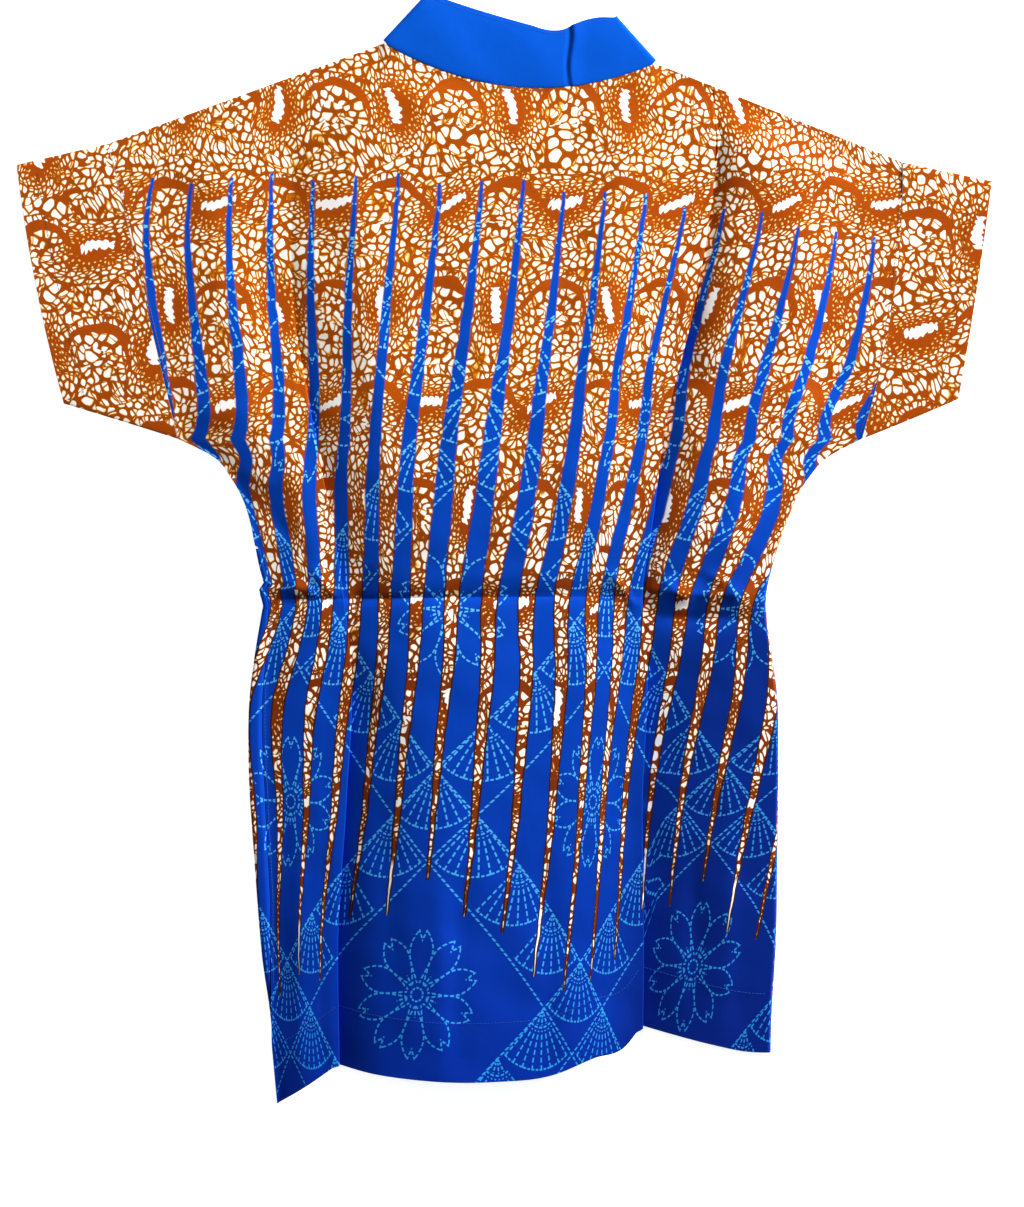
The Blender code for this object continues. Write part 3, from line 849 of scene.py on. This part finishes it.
def build_fan():
    """Fan with its apex at the origin, opening down: eight ribs, a small arc and a rim."""
    given, result = new_group("fan", {"X": "value", "Y": "value"},
                                    {"Dash": "value", "Inside": "value"})
    x, y = Field(given["X"]), Field(given["Y"])
    reach = root(x, y)
    lean = x.angle(y * -1)
    inside = abs(lean).below(FAN["spread"] + 0.04) * reach.below(FAN["radius"] + 1.0)
    gap = 2 * FAN["spread"] / FAN["gaps"]
    turn = lean / gap + 0.5
    ribs = dashes(turn.off_whole() * gap * reach, reach + 3.0, 0.72, 6.5) * reach.above(17.5)
    rays = dashes((turn / 2).off_whole() * gap * 2 * reach, reach, 0.75, 4.6)
    rays = rays * reach.above(4.2) * reach.below(13.0)
    arc = dashes(reach - FAN["arc"], lean * FAN["arc"], 0.72, 5.0)
    rim = dashes(reach - FAN["radius"], lean * FAN["radius"], 0.72, 4.4)
    knot = root(x / 3.4, (y + 1.4) / 1.6).below(1.0, 0.2)
    feed(result["Dash"], largest(largest(ribs, rays, arc, rim) * inside, knot))
    feed(result["Inside"], inside)


def petal_outline(turn, reach):
    """Petals about an axis every whole turn: dashed sides and notch, and where they cover."""
    sector = 2 * math.pi / BLOSSOM["petals"]
    aside = abs(turn.off_whole()) * sector
    along, off = reach * aside.cos(), reach * aside.sin()
    share = ((along - BLOSSOM["start"]) / BLOSSOM["length"]).clamp()
    half = (share ** 1.3 * math.pi).sin() * BLOSSOM["wide"]
    tip = BLOSSOM["notch"] + off * 2.2
    side = dashes(off - half, along, 0.72, 5.2) * (along - tip).below(1.0)
    cut = dashes((along - tip) * 0.42, along + 1.0, 0.72, 4.6) * (off - half).below(0.5)
    cover = (off - half).below(0.4) * (along - tip).below(0.0)
    hairs = dashes(off, reach, 0.75, 5.2) * reach.above(9.5) * reach.below(19.5)
    return largest(side, cut) * along.above(10.0), cover, hairs


def build_blossom():
    """Blossom round the origin: five notched petals over five more, about a ring."""
    given, result = new_group("blossom", {"X": "value", "Y": "value"}, {"Dash": "value"})
    x, y = Field(given["X"]), Field(given["Y"])
    reach = root(x, y)
    turn = (y.angle(x) - BLOSSOM["lean"]) * (BLOSSOM["petals"] / (2 * math.pi))
    front, cover, hairs = petal_outline(turn, reach)
    behind, _, _ = petal_outline(turn + 0.5, reach)
    ring = dashes(reach - BLOSSOM["ring"], turn * 2.0, 0.72, 1.0)
    feed(result["Dash"], largest(front, behind * (1.0 - cover), hairs, ring))


def build_dash_print():
    """Dashed lines as in running stitch.

    Places are counted in half diamonds from a blossom, as the sum and the
    difference of the two slants. A band of either slant lies between two counts,
    and fans step down along its upper edge, each lying on the one above. The
    second slant is the first one mirrored. A blossom fills the middle of a diamond.
    """
    given, result = new_group("dash_print", {"Place": "vector"}, {"Dash": "value"})
    x, y = split(given["Place"])
    wide, tall = DIAMOND["half_wide"], DIAMOND["half_tall"]
    across, up = (x - DIAMOND["x"]) / wide, (y - DIAMOND["y"]) / tall
    low, high = FAN_BAND
    first = ((across + up - low) % 2.0).below(high - low)
    mirrored = across * (first * 2.0 - 1.0)
    from_top = (mirrored + up - low) % 2.0 - (high - low)
    in_band = from_top.below(0.0)
    steps = (mirrored - up + high) / FAN["step"]
    over = []
    for ahead in (0.0, 1.0):
        past = (steps.fract() - ahead) * FAN["step"]
        over.append(use_group(steps.socket, "fan", X=(from_top + past) * (wide / 2),
                              Y=(from_top - past) * (tall / 2)))
    upper, lower = ([Field(out) for out in outs] for outs in over)
    fans = choose(lower[1], upper[0], lower[0]) * in_band
    steep = math.hypot(1 / wide, 1 / tall)
    edges = []
    for slant in (across + up, up - across):
        for count in FAN_BAND:
            edges.append(dashes(((slant - count) / 2.0).off_whole() * 2.0 / steep, y * 1.41))
    lobe_x = ((across - (up + 0.5).floor()) / 2.0).off_whole() * 2.0 * wide
    lobe_y = up.off_whole() * tall
    blossom = Field(use_group(x.socket, "blossom", X=lobe_x, Y=lobe_y)["Dash"])
    clear = (abs(lobe_x) / wide + abs(lobe_y) / tall).below(0.62)
    feed(result["Dash"], largest(fans, blossom * clear, *edges))


def build_streaks():
    """Long tapering streaks: blue wedges grow down from their tips until they meet.

    Between streak k and k + 1 the brown print narrows in straight lines from the
    blue tips above to its own blunt tip below, which swings up and down as a wave.
    Some of the brown spikes are bare white at their ends, and a dark line edges the
    lower ones.
    """
    given, result = new_group("streaks", {"Number": "value", "Down": "value"},
                                    {"Blue": "value", "Rim": "value", "Bare": "value"})
    number, y = Field(given["Number"]), Field(given["Down"])
    number = number + (noise(join(number * 2.0, y * 0.06), 1.0) - 0.5) * 0.07
    k = number.floor()
    swing = ((k - TIP_LOW["peak"]) * (2 * math.pi / TIP_LOW["period"])).cos()
    low = TIP_LOW["y"] - swing * TIP_LOW["swing"] + (k * 2.9).sin() * 12.0

    def half_width(streak):
        """Half of a blue streak's width at this height, as a share of the pitch."""
        tip = TIP_TOP["y"] - (streak - TIP_TOP["middle"]) ** 2 * TIP_TOP["bend"]
        tip = tip + (streak * 2.1).sin() * 4
        fall = (tip - y) / (tip - low)
        return fall.clamp() * 0.43 + 0.04 - fall.below(0.0) * 0.2

    part = number - k
    inside = smallest(part - half_width(k), 1.0 - part - half_width(k + 1.0)) - y.below(low) * 0.2
    feed(result["Blue"], inside.below(0.0, 0.02))
    feed(result["Rim"], abs(inside - 0.004).below(0.024, 0.016))
    feed(result["Bare"], (k * 1.7).sin().above(0.72) * (y - low).below(44.0, 6.0))


def build_weave():
    """Plain weave with stray slubs: height of fine threads in both directions."""
    given, result = new_group("plain_weave", {"Place": "vector"}, {"Height": "value"})
    x, y = split(given["Place"])
    turns = 2 * math.pi / WEAVE["pitch"]
    threads = (x * turns).sin() * (y * turns).sin()
    slub = noise(join(x * 0.25, y * 1.2), 1.0) * 1.6
    limp = noise(given["Place"], 0.06, 3.0) * 9.0
    feed(result["Height"], threads + slub + limp)


def new_material(name):
    """Material with its shader."""
    material = bpy.data.materials.new(name)
    material.use_nodes = True
    return material, material.node_tree.nodes["Principled BSDF"]


def new_cotton(name):
    """Matt cotton: the material, its shader and the place on the cloth in millimetres."""
    material, shader = new_material(name)
    source = new_node(shader.inputs[0], "ShaderNodeUVMap", {}, uv_map="cloth")
    place = new_node(source.outputs[0], "ShaderNodeVectorMath",
                     {0: source.outputs[0], "Scale": 1 / MM}, operation="SCALE").outputs[0]
    weave = use_group(place, "plain_weave", Place=place)["Height"]
    bump = new_node(place, "ShaderNodeBump",
                    {"Strength": 0.35, "Distance": WEAVE["high"] * MM, "Height": weave})
    feed_all(shader, {"Metallic": 0.0, "Specular IOR Level": 0.05, "Normal": bump.outputs[0]})
    return material, shader, place


def make_body_print():
    """Printed cotton of the back and front: streaks of blue and of brown net, with painted shade
    darker towards the hem and on the right panel, and painted light at the top.
    """
    material, shader, place = new_cotton("streaked_print")
    x, y = split(place)
    number = x / PITCH
    streaks = {key: Field(use) for key, use in
               use_group(place, "streaks", Number=number, Down=y).items()}
    cells = use_group(place, "cell_print", Place=place)
    drawn_up = number.above(RIGHT_PANEL["drawn_up"], 0.4) * y.below(-230.0, 140.0) * DRAWN_UP
    dash = Field(use_group(place, "dash_print", Place=join(x, y - drawn_up))["Dash"])
    # Painted light and shade: the blue ground and its pale dashes lighter at the top and darker
    # towards the hem
    high = y.above(-30.0, 860.0)
    mottle = noise(place, 0.02).above(0.5, 1.6)
    # Painted shade on the right panel below the waist: its blue ground and dashes darker from a streak
    # number on
    painted_right_blue_shade = number.above(RIGHT_PANEL["dark"], 2.0) * y.below(-20.0, 120.0)
    ground = blend(painted_right_blue_shade * 0.65, blend(high, DEEP_BLUE, BLUE), RIGHT_SHADE_BLUE)
    stitch = blend(painted_right_blue_shade * 0.45, blend(high, PALE_BLUE, PALEST_BLUE), RIGHT_SHADE_DASH_BLUE)
    blue = blend(dash, ground, stitch)
    # Painted shade: the brown net darker towards the hem
    painted_low_shade = y.below(20.0, 220.0) * (1.0 - Field(cells["Pale"]))
    # Painted shade on the brown net of the right fold and panel: half mixed with deep brown
    painted_right_net_shade = number.above(RIGHT_PANEL["painted_right_net_shade"], 2.0) * (1.0 - Field(cells["Pale"])) * 0.5
    net = blend(painted_low_shade, blend(painted_right_net_shade, cells["Color"], DEEP_BROWN), LOW_SHADE_BROWN)
    net = blend(streaks["Bare"], net, WHITE)
    body = blend(streaks["Blue"], net, blue)
    upper = y.above(40.0, 160.0)
    rim = streaks["Rim"] * choose(upper, 1.0, upper * 0.25)
    feed(shader.inputs["Base Color"], blend(rim, body, blend(upper, LINE_BROWN, PLUM)))
    feed(shader.inputs["Roughness"], mottle * 0.1 + 0.72)
    return material


def make_sleeve_print():
    """Printed cotton of the sleeves: the brown net alone."""
    material, shader, place = new_cotton("cell_print_cotton")
    cells = use_group(place, "cell_print", Place=place)
    pale = Field(cells["Pale"])
    feed(shader.inputs["Base Color"], blend((1.0 - pale) * 0.4, cells["Color"], DEEP_BROWN))
    feed(shader.inputs["Roughness"], pale * 0.06 + 0.74)
    return material


def make_plain_cotton():
    """Plain blue cotton of the band, a little worn in patches."""
    material, shader, place = new_cotton("plain_blue_cotton")
    mottle = noise(place, 0.03, 4.0).above(0.5, 1.2)
    feed(shader.inputs["Base Color"], blend(mottle * 0.35, BAND_BLUE, BLUE))
    feed(shader.inputs["Roughness"], mottle * 0.12 + 0.68)
    return material


def make_thread(name, colour):
    """Matt sewing thread, its twist shown as darker flecks."""
    material, shader = new_material(name)
    place = new_node(shader.inputs[0], "ShaderNodeTexCoord", {}).outputs["Object"]
    twist = noise(place, 900.0).above(0.5, 0.8)
    darker = tuple(c * 0.55 for c in colour[:3]) + (1,)
    feed_all(shader, {"Base Color": blend(twist, darker, colour), "Roughness": 0.7})
    return material


def back_columns():
    """Places s of the back's columns, closer where a panel ends in a lip and at both sides."""
    t = {name: np.linspace(0, 1, count, endpoint=False) for name, count in COLUMNS.items()}
    spread = {"left": 1 - (1 - t["left"]) ** 1.15,
              "middle": lerp(t["middle"], (1 - np.cos(math.pi * t["middle"])) / 2, 0.35)}
    right = lerp(t["right"], (1 - np.cos(math.pi * t["right"])) / 2, 0.6)
    right = right[right < 1 - 3.2 / LAST_PANEL]
    parts = [[0.0, RIM / LIP_PANELS["left"]]]
    for panel, (name, width) in enumerate(LIP_PANELS.items()):
        inner = spread[name][spread[name] < 1 - (LIP_COLUMNS[0] + 0.6) / width]
        parts += [panel + inner[1 - panel:], panel + 1 - LIP_COLUMNS / width]
    return np.concatenate((*parts, 2 + right, 3 - EDGE_COLUMNS / LAST_PANEL, [3.0]))


def back_grid():
    """Points of the back panel, their places on the printed cloth and the print's extra travel."""
    s = back_columns()
    top = np.full_like(s, NECK["left"][1])
    hem = np.full_like(s, HEM["y"][0])
    for _ in range(30):
        top = top_y(across(s, top))
        hem = hem_y(across(s, hem))
    q = {name: np.linspace(0, 1, count, endpoint=False)[:, None] for name, count in ROWS.items()}
    y = np.concatenate(([top], top - [RIM + np.zeros_like(s)],
                        lerp(top, UNDERARM_Y, q["yoke"][1:]),
                        lerp(WAIST_Y, UNDERARM_Y, (1 - q["waist"]) ** 1.5) + np.zeros_like(s),
                        lerp(WAIST_Y, hem, q["skirt"] ** 1.35), [hem + RIM], [hem]))
    s = np.broadcast_to(s, y.shape)
    x = across(s, y)
    z = back_height(s, x, y)
    moved = x + overhang(x, y)
    cloth = np.stack((streak_number(moved, y) * PITCH, y), axis=-1)
    return np.stack((moved, y, z), axis=-1), cloth, wall_travel(s, x, y)


def make_back(material):
    """Back panel in its deep folds. The print of a lip's upright cloth ends at the trough."""
    grid, cloth, travel = back_grid()
    rows, columns = grid.shape[:2]
    faces = grid_faces(rows, columns)
    corners = cloth.reshape(-1, 2)[faces]
    past_trough = np.isin(np.array(faces)[:, 0] % columns,
                          np.flatnonzero(np.isin(back_columns(), (1.0, 2.0))))
    corners[..., 0] += travel.ravel()[faces] * ~past_trough[:, None]
    return new_mesh("back_cloth", grid.reshape(-1, 3), faces, corners.reshape(-1, 2), WALL, material)


def side_profile(y, steps):
    """Front's left edge, in rows by y: round the turn and onto the top, tucked under near the hem."""
    open_share = ease((y - TUCK["to"]) / (TUCK["from"] - TUCK["to"]), 0, 1)
    turn = lerp(TUCK["turn"], SIDE_TURN, open_share)[:, None]
    centre = (left_x(y) + lerp(TUCK["inset"], 0, open_share) + WALL / 2)[:, None] + turn
    a = np.linspace(0, math.pi, steps)[None, :]
    x = centre - turn * np.sin(a)
    z = FRONT_Z + turn * (1 - np.cos(a))
    end_x = lerp(centre[:, 0] + 1.0, left_x(y) + strip_width(y), open_share)[:, None]
    end_z = lerp(z[:, -1], edge_height(y, "left"), open_share)[:, None]
    x = np.concatenate((x, lerp(x[:, -1:], end_x, 0.5), end_x), axis=1)
    z = np.concatenate((z, lerp(z[:, -1:], end_z, 0.5), end_z), axis=1)
    return np.stack((x, np.broadcast_to(y[:, None], x.shape), z), axis=-1)


def front_half(side):
    """Half of the flat front, from its outer edge to the V neck and the centre line."""
    corner = NECK[side]
    s = np.linspace(0, 1, FRONT_STEPS["across"])
    top = lerp(ARMHOLE[side][0][1], corner[1], s)
    centre_hem = lerp(*FRONT_HEM.values(), 0.5)
    hem = lerp(FRONT_HEM[side], centre_hem, s)
    above = np.linspace(0, 1, FRONT_STEPS["above"], endpoint=False)
    tuck = (V_POINT[1] - WAIST_TUCK["y"] + TUCK_ROWS) / (V_POINT[1] - centre_hem)
    below = np.sort(np.append(np.linspace(0, 1, FRONT_STEPS["below"]), tuck))
    y = np.concatenate((lerp(top, V_POINT[1], above[:, None]), lerp(V_POINT[1], hem, below[:, None])))
    t = np.clip((y - V_POINT[1]) / (corner[1] - V_POINT[1]), 0, 1)
    inner = lerp(V_POINT[0], corner[0], t)
    edge = left_x(y) if side == "left" else right_x(y)
    if side == "left":
        turned = y[:, 0] <= SIDE_TURN_START_Y
        edge[turned] = side_profile(y[turned, 0], 2)[:, :1, 0]
    x = lerp(edge, inner, s)
    return np.stack((x, y, np.full_like(x, FRONT_Z)), axis=-1)


def make_front(material):
    """Front panel: two flat halves that meet down the centre, and the turned left edge."""
    grids = [front_half(side) for side in SIDE_NAMES]
    turned_y = grids[0][:, 0, 1]
    turned_y = turned_y[turned_y <= SIDE_TURN_START_Y]
    turned = side_profile(turned_y, TURN_STEPS)
    points, faces = [], []
    for grid in (*grids, turned):
        rows, columns = grid.shape[:2]
        faces += (np.array(grid_faces(rows, columns)) + sum(map(len, points))).tolist()
        points.append(grid.reshape(-1, 3))
    points = np.concatenate(points)
    x, y = points[:, 0], points[:, 1]
    number = streak_number(x, y)
    piece = new_mesh("front_cloth", points, faces, np.stack((number * PITCH, y), axis=-1), 0, material)
    weld(piece)
    add_wall(piece, WALL)
    return piece


def weld(piece):
    """Joins the points that grids share and turns every face the same way."""
    shape = bmesh.new()
    shape.from_mesh(piece.data)
    bmesh.ops.remove_doubles(shape, verts=shape.verts, dist=0.02 * MM)
    bmesh.ops.recalc_face_normals(shape, faces=shape.faces)
    shape.to_mesh(piece.data)
    shape.free()


def sleeve_loop(upper, lower, side, t):
    """Closed loop of the flattened tube: upper layer, lower fold, lower layer, upper fold."""
    length = math.dist(upper, lower)
    along = (lower - upper) / length
    turn = SLEEVE_TURN
    inset = turn + WALL / 2
    f = np.linspace(0, 1, TUBE_COLUMNS)
    flat = upper + along * lerp(inset, length - inset, f)[:, None]
    folds = 0.8 * np.sin(f * 17 + 2.2 * t) * np.sin(math.pi * f) * np.sin(math.pi * min(t * 1.2, 1))
    top_z = low_arch(f, SLEEVE_EDGE_Z) + folds
    a = np.linspace(0, math.pi, TURN_STEPS)[1:-1]
    low_turn = lower + along * (turn * np.sin(a) - inset)[:, None]
    up_turn = upper - along * (turn * np.sin(a[::-1]) - inset)[:, None]
    plan = np.concatenate((flat, low_turn, flat[::-1], up_turn))
    z = np.concatenate((top_z, FRONT_Z + turn * (1 + np.cos(a)), np.full(len(f), FRONT_Z),
                        FRONT_Z + turn * (1 + np.cos(a[::-1]))))
    loop = np.concatenate((plan, z[:, None]), axis=1)
    return loop if side == "left" else loop[::-1]


def make_sleeve(side, material):
    """Short sleeve as a flattened tube, open at the armhole and the cuff."""
    armhole, cuff = np.array(ARMHOLE[side]), np.array(CUFF[side])
    outward = -1 if side == "left" else 1
    grid = np.array([sleeve_loop(*lerp(armhole, cuff, t), side, t) for t in SLEEVE_STEPS])
    top, span = armhole[0], armhole[1] - armhole[0]
    f = np.clip(((grid[..., :2] - top) @ span) / (span @ span), 0, 1)
    bow = lerp(ARMHOLE_BOW[side], CUFF_BOW[side], SLEEVE_STEPS)[:, None]
    grid[..., 0] += outward * bow * hump(f)
    grid[0, :, 0] += outward * SEAM_GAP
    rows, columns = grid.shape[:2]
    flat = grid.reshape(-1, 3)
    cloth = flat[:, :2] + SLEEVE_PRINT_AT[side]
    piece = new_mesh("sleeve_" + side + "_cloth", flat, grid_faces(rows, columns, True), cloth,
                     WALL, material)
    return piece, grid if side == "left" else grid[:, ::-1]


def band_sections():
    """Sections of the band from one end of the V, over the shoulders, to the other."""
    inner, point = np.array(BAND_INNER_POINT), np.array(V_POINT)
    side = np.array((SEAM_GAP / 2, 0))
    up = np.array((0, SEAM_GAP * 1.4))
    turn_l, turn_r = (np.array(BAND_TURN_AT[side_name]) for side_name in SIDE_NAMES)
    neck_l = lerp(np.array(NECK["left"]), turn_l, BAND_CORNER)
    neck_r = lerp(np.array(NECK["right"]), turn_r, BAND_CORNER)
    sections = [(lerp(point - side + up, neck_l, t), lerp(inner - side, turn_l, t), BAND_LOW_Z)
                for t in np.linspace(0, 1, BAND_STEPS["leg"], endpoint=False)]
    sections += band_turn(neck_l, turn_l, True)
    even = np.linspace(0, 1, BAND_STEPS["back"])[1:-1]
    near_fold = np.linspace(BAND_FOLD["from"], BAND_FOLD["to"], BAND_FOLD["steps"])
    clear = abs(even - (BAND_FOLD["from"] + BAND_FOLD["to"]) / 2) > BAND_FOLD["clear"]
    for t in np.sort(np.append(even[clear], near_fold)):
        x = lerp(NECK["left"][0], NECK["right"][0], t)
        edge_x = lerp(BAND_TURN_AT["left"][0], BAND_TURN_AT["right"][0], t)
        seam = np.array((x, float(top_y(x)) + SEAM_GAP))
        outer = np.array((edge_x, float(smooth(edge_x, BAND_EDGE["x"], BAND_EDGE["y"]))))
        sections.append((seam, outer, BAND_TOP_Z))
    sections += band_turn(neck_r, turn_r, False)
    sections += [(lerp(neck_r, point + side + up, t), lerp(turn_r, inner + side, t), BAND_LOW_Z)
                 for t in np.linspace(0, 1, BAND_STEPS["leg"] + 1)[1:]]
    return sections


def band_turn(seam, outer, low_first):
    """Sections round the half circle where the band turns over."""
    along = (outer - seam) / np.linalg.norm(outer - seam)
    away = np.array((-along[1], along[0])) * (1 if low_first else -1)
    angles = np.linspace(0, math.pi, TURN_STEPS)
    return [(seam + away * BAND_TURN * math.sin(a), outer + away * BAND_TURN * math.sin(a),
             BAND_LOW_Z + BAND_TURN * (1 - math.cos(a)))
            for a in (angles if low_first else angles[::-1])]


def make_band(material):
    """Doubled neck band with its soft edge and the creases across its back."""
    sections = band_sections()
    w = np.concatenate(([0, 0.008], np.linspace(0, 1, BAND_STEPS["across"])[1:-1], [0.992, 1]))
    seam, outer, level = (np.array(part)[:, None] for part in zip(*sections))
    plan = lerp(seam, outer, w[None, :, None])
    x, y = plan[..., 0], plan[..., 1]
    on_top = np.clip((level - BAND_LOW_Z) / (2 * BAND_TURN), 0, 1) ** 8
    puff = 1.1 * np.sin(math.pi * np.clip(w * 1.02, 0, 1)) ** 0.5
    fold_x = x - BAND_FOLD["x"] + 1.5 * np.sin(y / 9)
    swell = 1.5 * bell(np.maximum(fold_x, 0), 9.0) * ease(fold_x / 2.4, 0, 1)
    crease = swell - 0.9 * bell(fold_x + 1, 2.4)
    waves = 0.35 * np.sin(x / 11 + y / 23) + 0.25 * np.sin(x / 19 - y / 13)
    z = level + on_top * (puff + crease * lerp(0.5, 1.0, w) + waves * np.sin(math.pi * w))
    points = np.stack((x, y, z), axis=-1)
    cloth = np.stack((x + 20 * level, y), axis=-1)
    rows, columns = points.shape[:2]
    piece = new_mesh("collar_band_cloth", points.reshape(-1, 3), grid_faces(rows, columns),
                     cloth.reshape(-1, 2), BAND_WALL, material)
    return piece, points


def stitch_row(name, line, length, thick, material):
    """Joined short stitches along a line of surface points, each a six-sided bead."""
    line = np.asarray(line, float)
    run = np.concatenate(([0], np.cumsum(np.linalg.norm(np.diff(line, axis=0), axis=1))))
    centres = np.arange(STITCH_SPACE, run[-1] - STITCH_SPACE, length + STITCH_SPACE)
    middle, ahead = (np.stack([np.interp(at, run, line[:, i]) for i in range(3)], axis=-1)
                     for at in (centres, centres + 0.5))
    ahead -= middle
    ahead /= np.linalg.norm(ahead, axis=1, keepdims=True)
    side = np.cross(ahead, (0, 0, 1.0))
    side /= np.linalg.norm(side, axis=1, keepdims=True)
    up = np.cross(side, ahead)
    rings = ((-0.5, 0.25), (-0.4, 0.8), (0.0, 1.0), (0.4, 0.8), (0.5, 0.25))
    angles = np.arange(6) * math.pi / 3
    points = [middle + ahead * (length * f) + side * (thick / 2 * g * math.cos(a))
              + up * (thick / 2 * g * math.sin(a) + thick * 0.2) for f, g in rings for a in angles]
    points = np.stack(points, axis=1)
    one = [(i + j, i + (j + 1) % 6, i + 6 + (j + 1) % 6, i + 6 + j)
           for i in range(0, 24, 6) for j in range(6)]
    one += [tuple(range(6))[::-1], tuple(range(24, 30))]
    count = points.shape[1]
    faces = [tuple(k + n * count for k in face) for n in range(len(points)) for face in one]
    flat = points.reshape(-1, 3)
    return new_mesh(name, flat, faces, flat[:, :2], 0, material)


def back_line(x, y):
    """Points on the back's upper face along plan curves x and y."""
    return np.stack((x, y, back_height(share_across(x, y), x, y) + WALL / 2), axis=-1)


def sleeve_line(grid, from_cuff, margin=2):
    """Points on a sleeve's upper face, parallel to its cuff."""
    upper = grid[:, margin:TUBE_COLUMNS - margin]
    length = np.linalg.norm(upper[-1] - upper[0], axis=-1).mean()
    step = np.interp(1 - from_cuff / length, SLEEVE_STEPS, np.arange(len(SLEEVE_STEPS)))
    low = int(step)
    return lerp(upper[low], upper[low + 1], step - low) + (0, 0, WALL / 2)


def band_line(points, share, first, last):
    """Points on the band's upper face at a share of its breadth, between two sections."""
    column = share * (points.shape[1] - 3) + 1
    low = int(column)
    line = lerp(points[first:last, low], points[first:last, low + 1], column - low)
    return line + (0, 0, BAND_WALL / 2)


def add_light(name, place, target, size, power, colour):
    """Soft square light that faces its target."""
    data = bpy.data.lights.new(name, "AREA")
    data.size = size
    data.energy = power
    data.color = colour
    lamp = add_object(name, data)
    lamp.location = place
    lamp.rotation_euler = (Vector(target) - Vector(place)).to_track_quat("-Z", "Y").to_euler()


# Camera: straight above, with the photograph's frame of 1024 by 1207 pixels
FRAME_PX = (1024, 1207)
MM_PER_PX = 0.85
FRAME_CENTRE = (6.6, -47.3)
CAMERA_HEIGHT = 6.0

build_cell_print()
build_fan()
build_blossom()
build_dash_print()
build_streaks()
build_weave()
BODY_PRINT = make_body_print()
SLEEVE_PRINT = make_sleeve_print()
PLAIN_COTTON = make_plain_cotton()
BLUE_THREAD = make_thread("blue_thread", (0.01, 0.085, 0.55, 1))
BROWN_THREAD = make_thread("brown_thread", (0.16, 0.035, 0.006, 1))
RUST_THREAD = make_thread("rust_thread", (0.36, 0.07, 0.002, 1))

back = make_back(BODY_PRINT)
front = make_front(BODY_PRINT)
sleeves, sleeve_grids = zip(*(make_sleeve(side, SLEEVE_PRINT) for side in SIDE_NAMES))
band, band_points = make_band(PLAIN_COTTON)

# Rows of stitches on the back: along the hem, the neck seam, the armholes and the side
hem_x = np.linspace(-186, 222, 500)
neck_x = np.linspace(-99, 124, 240)
left_y, right_y = np.linspace(340, 98, 260), np.linspace(324, 98, 260)
side_y = np.linspace(-60, -370, 300)
side_x = left_x(side_y) + strip_width(side_y) + INSET["side"]
back_rows = {
    "hem_stitching": (back_line(hem_x, hem_y(hem_x) + INSET["hem"]), 2.4, 0.4, BLUE_THREAD),
    "neck_stitching": (back_line(neck_x, top_y(neck_x) - INSET["neck"]), 2.2, 0.4, RUST_THREAD),
    "armhole_stitching_left": (back_line(left_x(left_y) + INSET["armhole"], left_y), 2.4, 0.45,
                               RUST_THREAD),
    "armhole_stitching_right": (back_line(right_x(right_y) - INSET["armhole"], right_y), 2.4, 0.5,
                                BROWN_THREAD),
    "side_stitching": (back_line(side_x, side_y), 2.4, 0.45, BLUE_THREAD),
}
stitches = [stitch_row(name, *row) for name, row in back_rows.items()]
cuffs = [stitch_row("cuff_stitching_" + side, sleeve_line(grid, CUFF_INSET[side]), 2.4, 0.45,
                    BROWN_THREAD) for side, grid in zip(SIDE_NAMES, sleeve_grids)]
edge_line = band_line(band_points, INSET["band_share"], 24, -24)
edge_stitch = stitch_row("band_edge_stitching", edge_line, 2.2, 0.4, BLUE_THREAD)

for piece in (back, front, *sleeves, band, *stitches, *cuffs, edge_stitch):
    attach(piece, "root")
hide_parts("back_panel")
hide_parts("front_panel")
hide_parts("sleeve_left")
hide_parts("sleeve_right")
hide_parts("collar_band")

floor_mesh = bpy.data.meshes.new("floor")
floor_mesh.from_pydata([(-4, -4, 0), (4, -4, 0), (4, 4, 0), (-4, 4, 0)], [], [(0, 1, 2, 3)])
floor = add_object("floor", floor_mesh)
paper, paper_shader = new_material("pale_paper")
feed_all(paper_shader, {"Base Color": (0.9, 0.9, 0.9, 1), "Roughness": 0.9,
                        "Emission Color": (1, 1, 1, 1), "Emission Strength": 0.85})
floor_mesh.materials.append(paper)

add_light("key", (7.2, 5.0, 3.28), (0, -0.05, 0), 3.6, 2600, (1.0, 0.985, 0.96))
add_light("fill", (-0.2, 0.8, 4.0), (0, -0.05, 0), 2.4, 22, (0.97, 0.98, 1.0))
world = bpy.data.worlds.new("studio")
world.use_nodes = True
feed_all(world.node_tree.nodes["Background"], {"Color": (1, 1, 1, 1), "Strength": 0.13})
bpy.context.scene.world = world
bpy.context.scene.view_settings.view_transform = "Standard"

camera_data = bpy.data.cameras.new("camera")
camera_data.sensor_fit = "VERTICAL"
camera_data.sensor_height = 24.0
camera_data.lens = camera_data.sensor_height * CAMERA_HEIGHT / (FRAME_PX[1] * MM_PER_PX * MM)
camera = add_object("camera", camera_data)
camera.location = (FRAME_CENTRE[0] * MM, FRAME_CENTRE[1] * MM, CAMERA_HEIGHT)
bpy.context.scene.camera = camera
